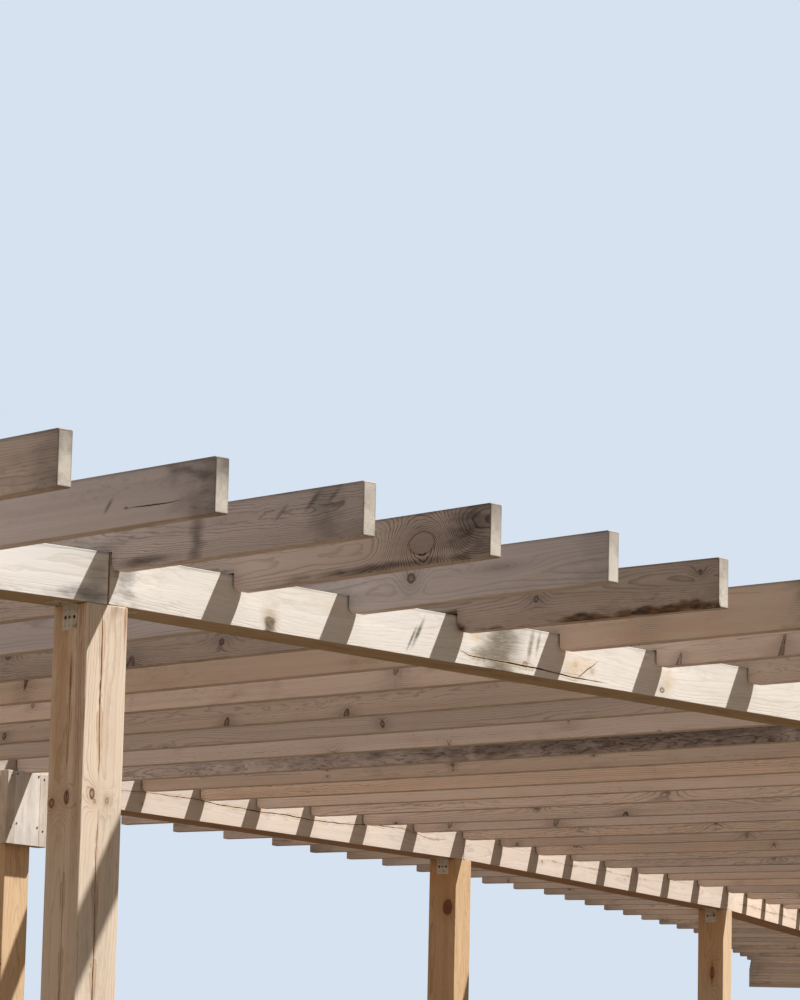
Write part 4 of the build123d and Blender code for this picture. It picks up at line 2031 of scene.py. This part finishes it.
FOURTH_POST_MARKS = (
    Mark(STAIN, LEFT_FACE, 2.779, 0.030, (0.030, 0.022), 1.1, paint(122, 58, 42), 0.05),
    Mark(KNOT, LEFT_FACE, 2.779, 0.030, (0.034, 0.024), 0.9),
    # Painted shade: the upper left face, in shade, is laid over with a darker orange.
    Mark(STAIN, LEFT_FACE, 2.930, 0.0, (0.130, 0.200), 0.5, LEFT_FACE_SHADE, 0.4),
)
FIFTH_POST_MARKS = (
    Mark(KNOT, LEFT_FACE, 2.665, 0.010, (0.030, 0.012), 1.0),
    Mark(SLIT, LEFT_FACE, 2.665, 0.010, (0.075, 0.0050), 0.8, paint(84, 34, 20), 0.2),
    # Painted shade: the upper left face, in shade, is laid over with a darker orange.
    Mark(STAIN, LEFT_FACE, 2.850, 0.0, (0.260, 0.200), 0.45, LEFT_FACE_SHADE, 0.4),
)
NEAR_BEAM_CRACKS = (
    Crack(BEAM_FRONT, ((1.395, 0.024), (1.46, 0.040), (1.781, 0.044), (1.945, 0.056), (2.10, 0.057)),
          0.0042, 0.010, 0.002),
    Crack(Side.UNDER, ((0.4, 0.01), (1.9, 0.02)), 0.002, 0.006),
)
NEAR_POST_CRACKS = (
    Crack(POST_FRONT, ((0.20, -0.004), (1.40, -0.011), (2.059, -0.010), (2.295, -0.010), (2.45, -0.009)),
          0.0050, 0.012, 0.003),
    Crack(POST_FRONT, ((2.53, -0.011), (2.744, -0.017), (2.990, -0.019)), 0.0050, 0.012, 0.003),
    Crack(LEFT_FACE, ((0.30, 0.006), (1.50, 0.008), (2.268, 0.008), (2.455, 0.006)), 0.0036, 0.010, 0.003),
    Crack(LEFT_FACE, ((2.52, 0.005), (2.692, 0.010), (2.860, 0.011)), 0.0032, 0.009, 0.002),
)
FAR_BEAM_CRACKS = (
    Crack(BEAM_FRONT, ((0.500, -0.010), (0.669, -0.014), (1.177, -0.020), (1.602, -0.008),
                       (2.119, -0.010), (2.662, -0.031), (2.904, -0.006), (3.05, -0.010)),
          0.0042, 0.010, 0.004),
)
RAFTER_MARKS = (
    Mark(STAIN, LEFT_FACE, 0.085, 0.041, (0.055, 0.040), 0.75, SOIL, 0.9, 2.9, owner=7),
    Mark(SLIT, LEFT_FACE, 0.229, -0.0265, (0.107, 0.0019), 0.95, SLIT_DARK, 0.35, 0.023, owner=7),
    Mark(STAIN, LEFT_FACE, 0.336, -0.0240, (0.010, 0.004), 1.2, SLIT_DARK, 0.3, owner=7),
    Mark(STAIN, LEFT_FACE, 0.405, -0.012, (0.010, 0.019), 0.9, SOIL, 0.4, -0.8, owner=7),
    Mark(STAIN, LEFT_FACE, 0.626, -0.020, (0.032, 0.085), 0.9, SOIL, 1.0, owner=8),
    Mark(STAIN, LEFT_FACE, 0.135, 0.0, (0.075, 0.110), 0.6, SOIL, 0.8, owner=8),
    Mark(STAIN, LEFT_FACE, 0.110, 0.042, (0.016, 0.024), 0.8, SOIL, 0.8, -1.1, owner=8),
    Mark(STAIN, LEFT_FACE, 0.190, 0.034, (0.015, 0.026), 0.8, SOIL, 0.8, -1.1, owner=8),
    Mark(STAIN, LEFT_FACE, 0.305, 0.018, (0.012, 0.022), 0.7, SOIL, 0.6, -1.1, owner=8),
    Mark(STAIN, LEFT_FACE, 0.830, -0.056, (0.120, 0.016), 1.0, SOIL, 0.6, owner=8),
    Mark(STAIN, LEFT_FACE, 0.420, -0.060, (0.420, 0.014), 1.0, SOIL, 0.6, owner=9),
    Mark(STAIN, LEFT_FACE, 0.060, 0.010, (0.110, 0.090), 0.9, paint(60, 46, 40), 0.7, owner=9),
    Mark(KNOT, LEFT_FACE, 0.728, 0.009, (0.017, 0.014), 0.8, owner=10),
    Mark(KNOT, LEFT_FACE, 0.391, 0.006, (0.040, 0.006), 0.0, owner=10),
    Mark(STAIN, LEFT_FACE, 2.300, 0.000, (1.900, 0.120), 1.1, paint(88, 68, 54), 0.7, owner=17),
)
# The rafters' near-white underside colour is painted reflected light on their shaded undersides; their sun
# side is partly greyed as painted shade.
RAFTER_WOOD = WoodFinish(
    "rafter_wood", early=paint(236, 220, 212), late=paint(96, 68, 56), knot=paint(84, 58, 46),
    grey=paint(122, 114, 105), sun_side_grey_shade=0.45, under=paint(244, 230, 224), end=paint(236, 226, 212),
    rusty=0.2, mould=paint(80, 70, 61), blotch=paint(212, 184, 168), lines=0.84, under_share=0.92,
    half_across=0.0225, knot_size=0.019, knot_chance=0.5, streaks=0.36, marks=RAFTER_MARKS)
SCREW_ZINC = SteelFinish(
    "screw_zinc", light=paint(150, 140, 124), dark=paint(92, 82, 70), rust=paint(84, 52, 34), rusty=0.9)
RAFTER_NOTES = {
    6: RafterNote(sideways=0.028, wood=dict(tone=0.0, figure=0.4, plain=0.2, damp=0.0, tip_soil=0.6)),
    7: RafterNote(sideways=0.015, lift=-0.004, wood=dict(
        tone=-0.1, figure=0.0, plain=0.75, damp=0.0, tip_soil=0.85, cast=-0.8)),
    8: RafterNote(lift=-0.003, wood=dict(
        tone=-0.5, figure=0.8, plain=0.0, damp=0.0, tip_soil=0.05, heart=(-0.030, 0.030, 0.0042))),
    9: RafterNote(lift=0.009, wood=dict(
        tone=-0.3, figure=0.6, plain=0.0, damp=0.0, tip_soil=0.6, burl=(0.245, -0.011, 0.030),
        heart=(-0.035, 0.01, 0.0055))),
    10: RafterNote(lift=0.003, wood=dict(
        tone=0.0, figure=0.1, plain=0.5, damp=0.0, tip_soil=0.3, cast=-1.0)),
    11: RafterNote(lift=-0.007, waney=True, wood=dict(
        tone=-1.6, figure=0.5, plain=0.0, damp=0.12, tip_soil=0.25, cast=1.0,
        heart=(-0.030, 0.02, 0.0055))),
    17: RafterNote(wood=dict(damp=0.0, tone=-0.8, figure=0.8, plain=0.0)),
}


def main() -> None:
    """Build the pergola and its studio, in order."""
    plan = RingPlan.from_frame()
    PostLine(plan, Line.OUTER, POST_WOOD, marks={2: NEAR_POST_MARKS}, cracks={2: NEAR_POST_CRACKS},
             changes={2: dict(tone=0.3)}).build()
    PostLine(plan, Line.INNER, INNER_POST_WOOD, marks={4: FOURTH_POST_MARKS, 5: FIFTH_POST_MARKS},
             changes={4: dict(tone=-0.7)}).build()
    BeamLine(plan, Line.OUTER, BEAM_WOOD, marks={1: LEFT_BEAM_MARKS, 2: NEAR_BEAM_MARKS},
             cracks={2: NEAR_BEAM_CRACKS},
             changes={1: dict(tone=0.7, cast=-0.6), 2: dict(tone=0.2, cast=-0.3)}).build()
    BeamLine(plan, Line.INNER, INNER_BEAM_WOOD, cracks={3: FAR_BEAM_CRACKS}).build()
    RafterRoof(plan, RAFTER_WOOD.build(), RAFTER_NOTES).build()
    steel = SteelFinish().build()
    screw_steel = SCREW_ZINC.build()
    # Painted shade: near-black material for the cups in the bracket holes.
    dark = PlainFinish("hole_shade_coat", paint(46, 36, 28)).build()
    for line in Line:
        BracketLine(plan, line, steel, screw_steel, dark).build()
    HeadBoards(plan, BOARD_WOOD, screw_steel).build()
    Studio(plan).build()


if __name__ == "__main__":
    logging.basicConfig(level=logging.INFO, format="%(message)s")
    main()
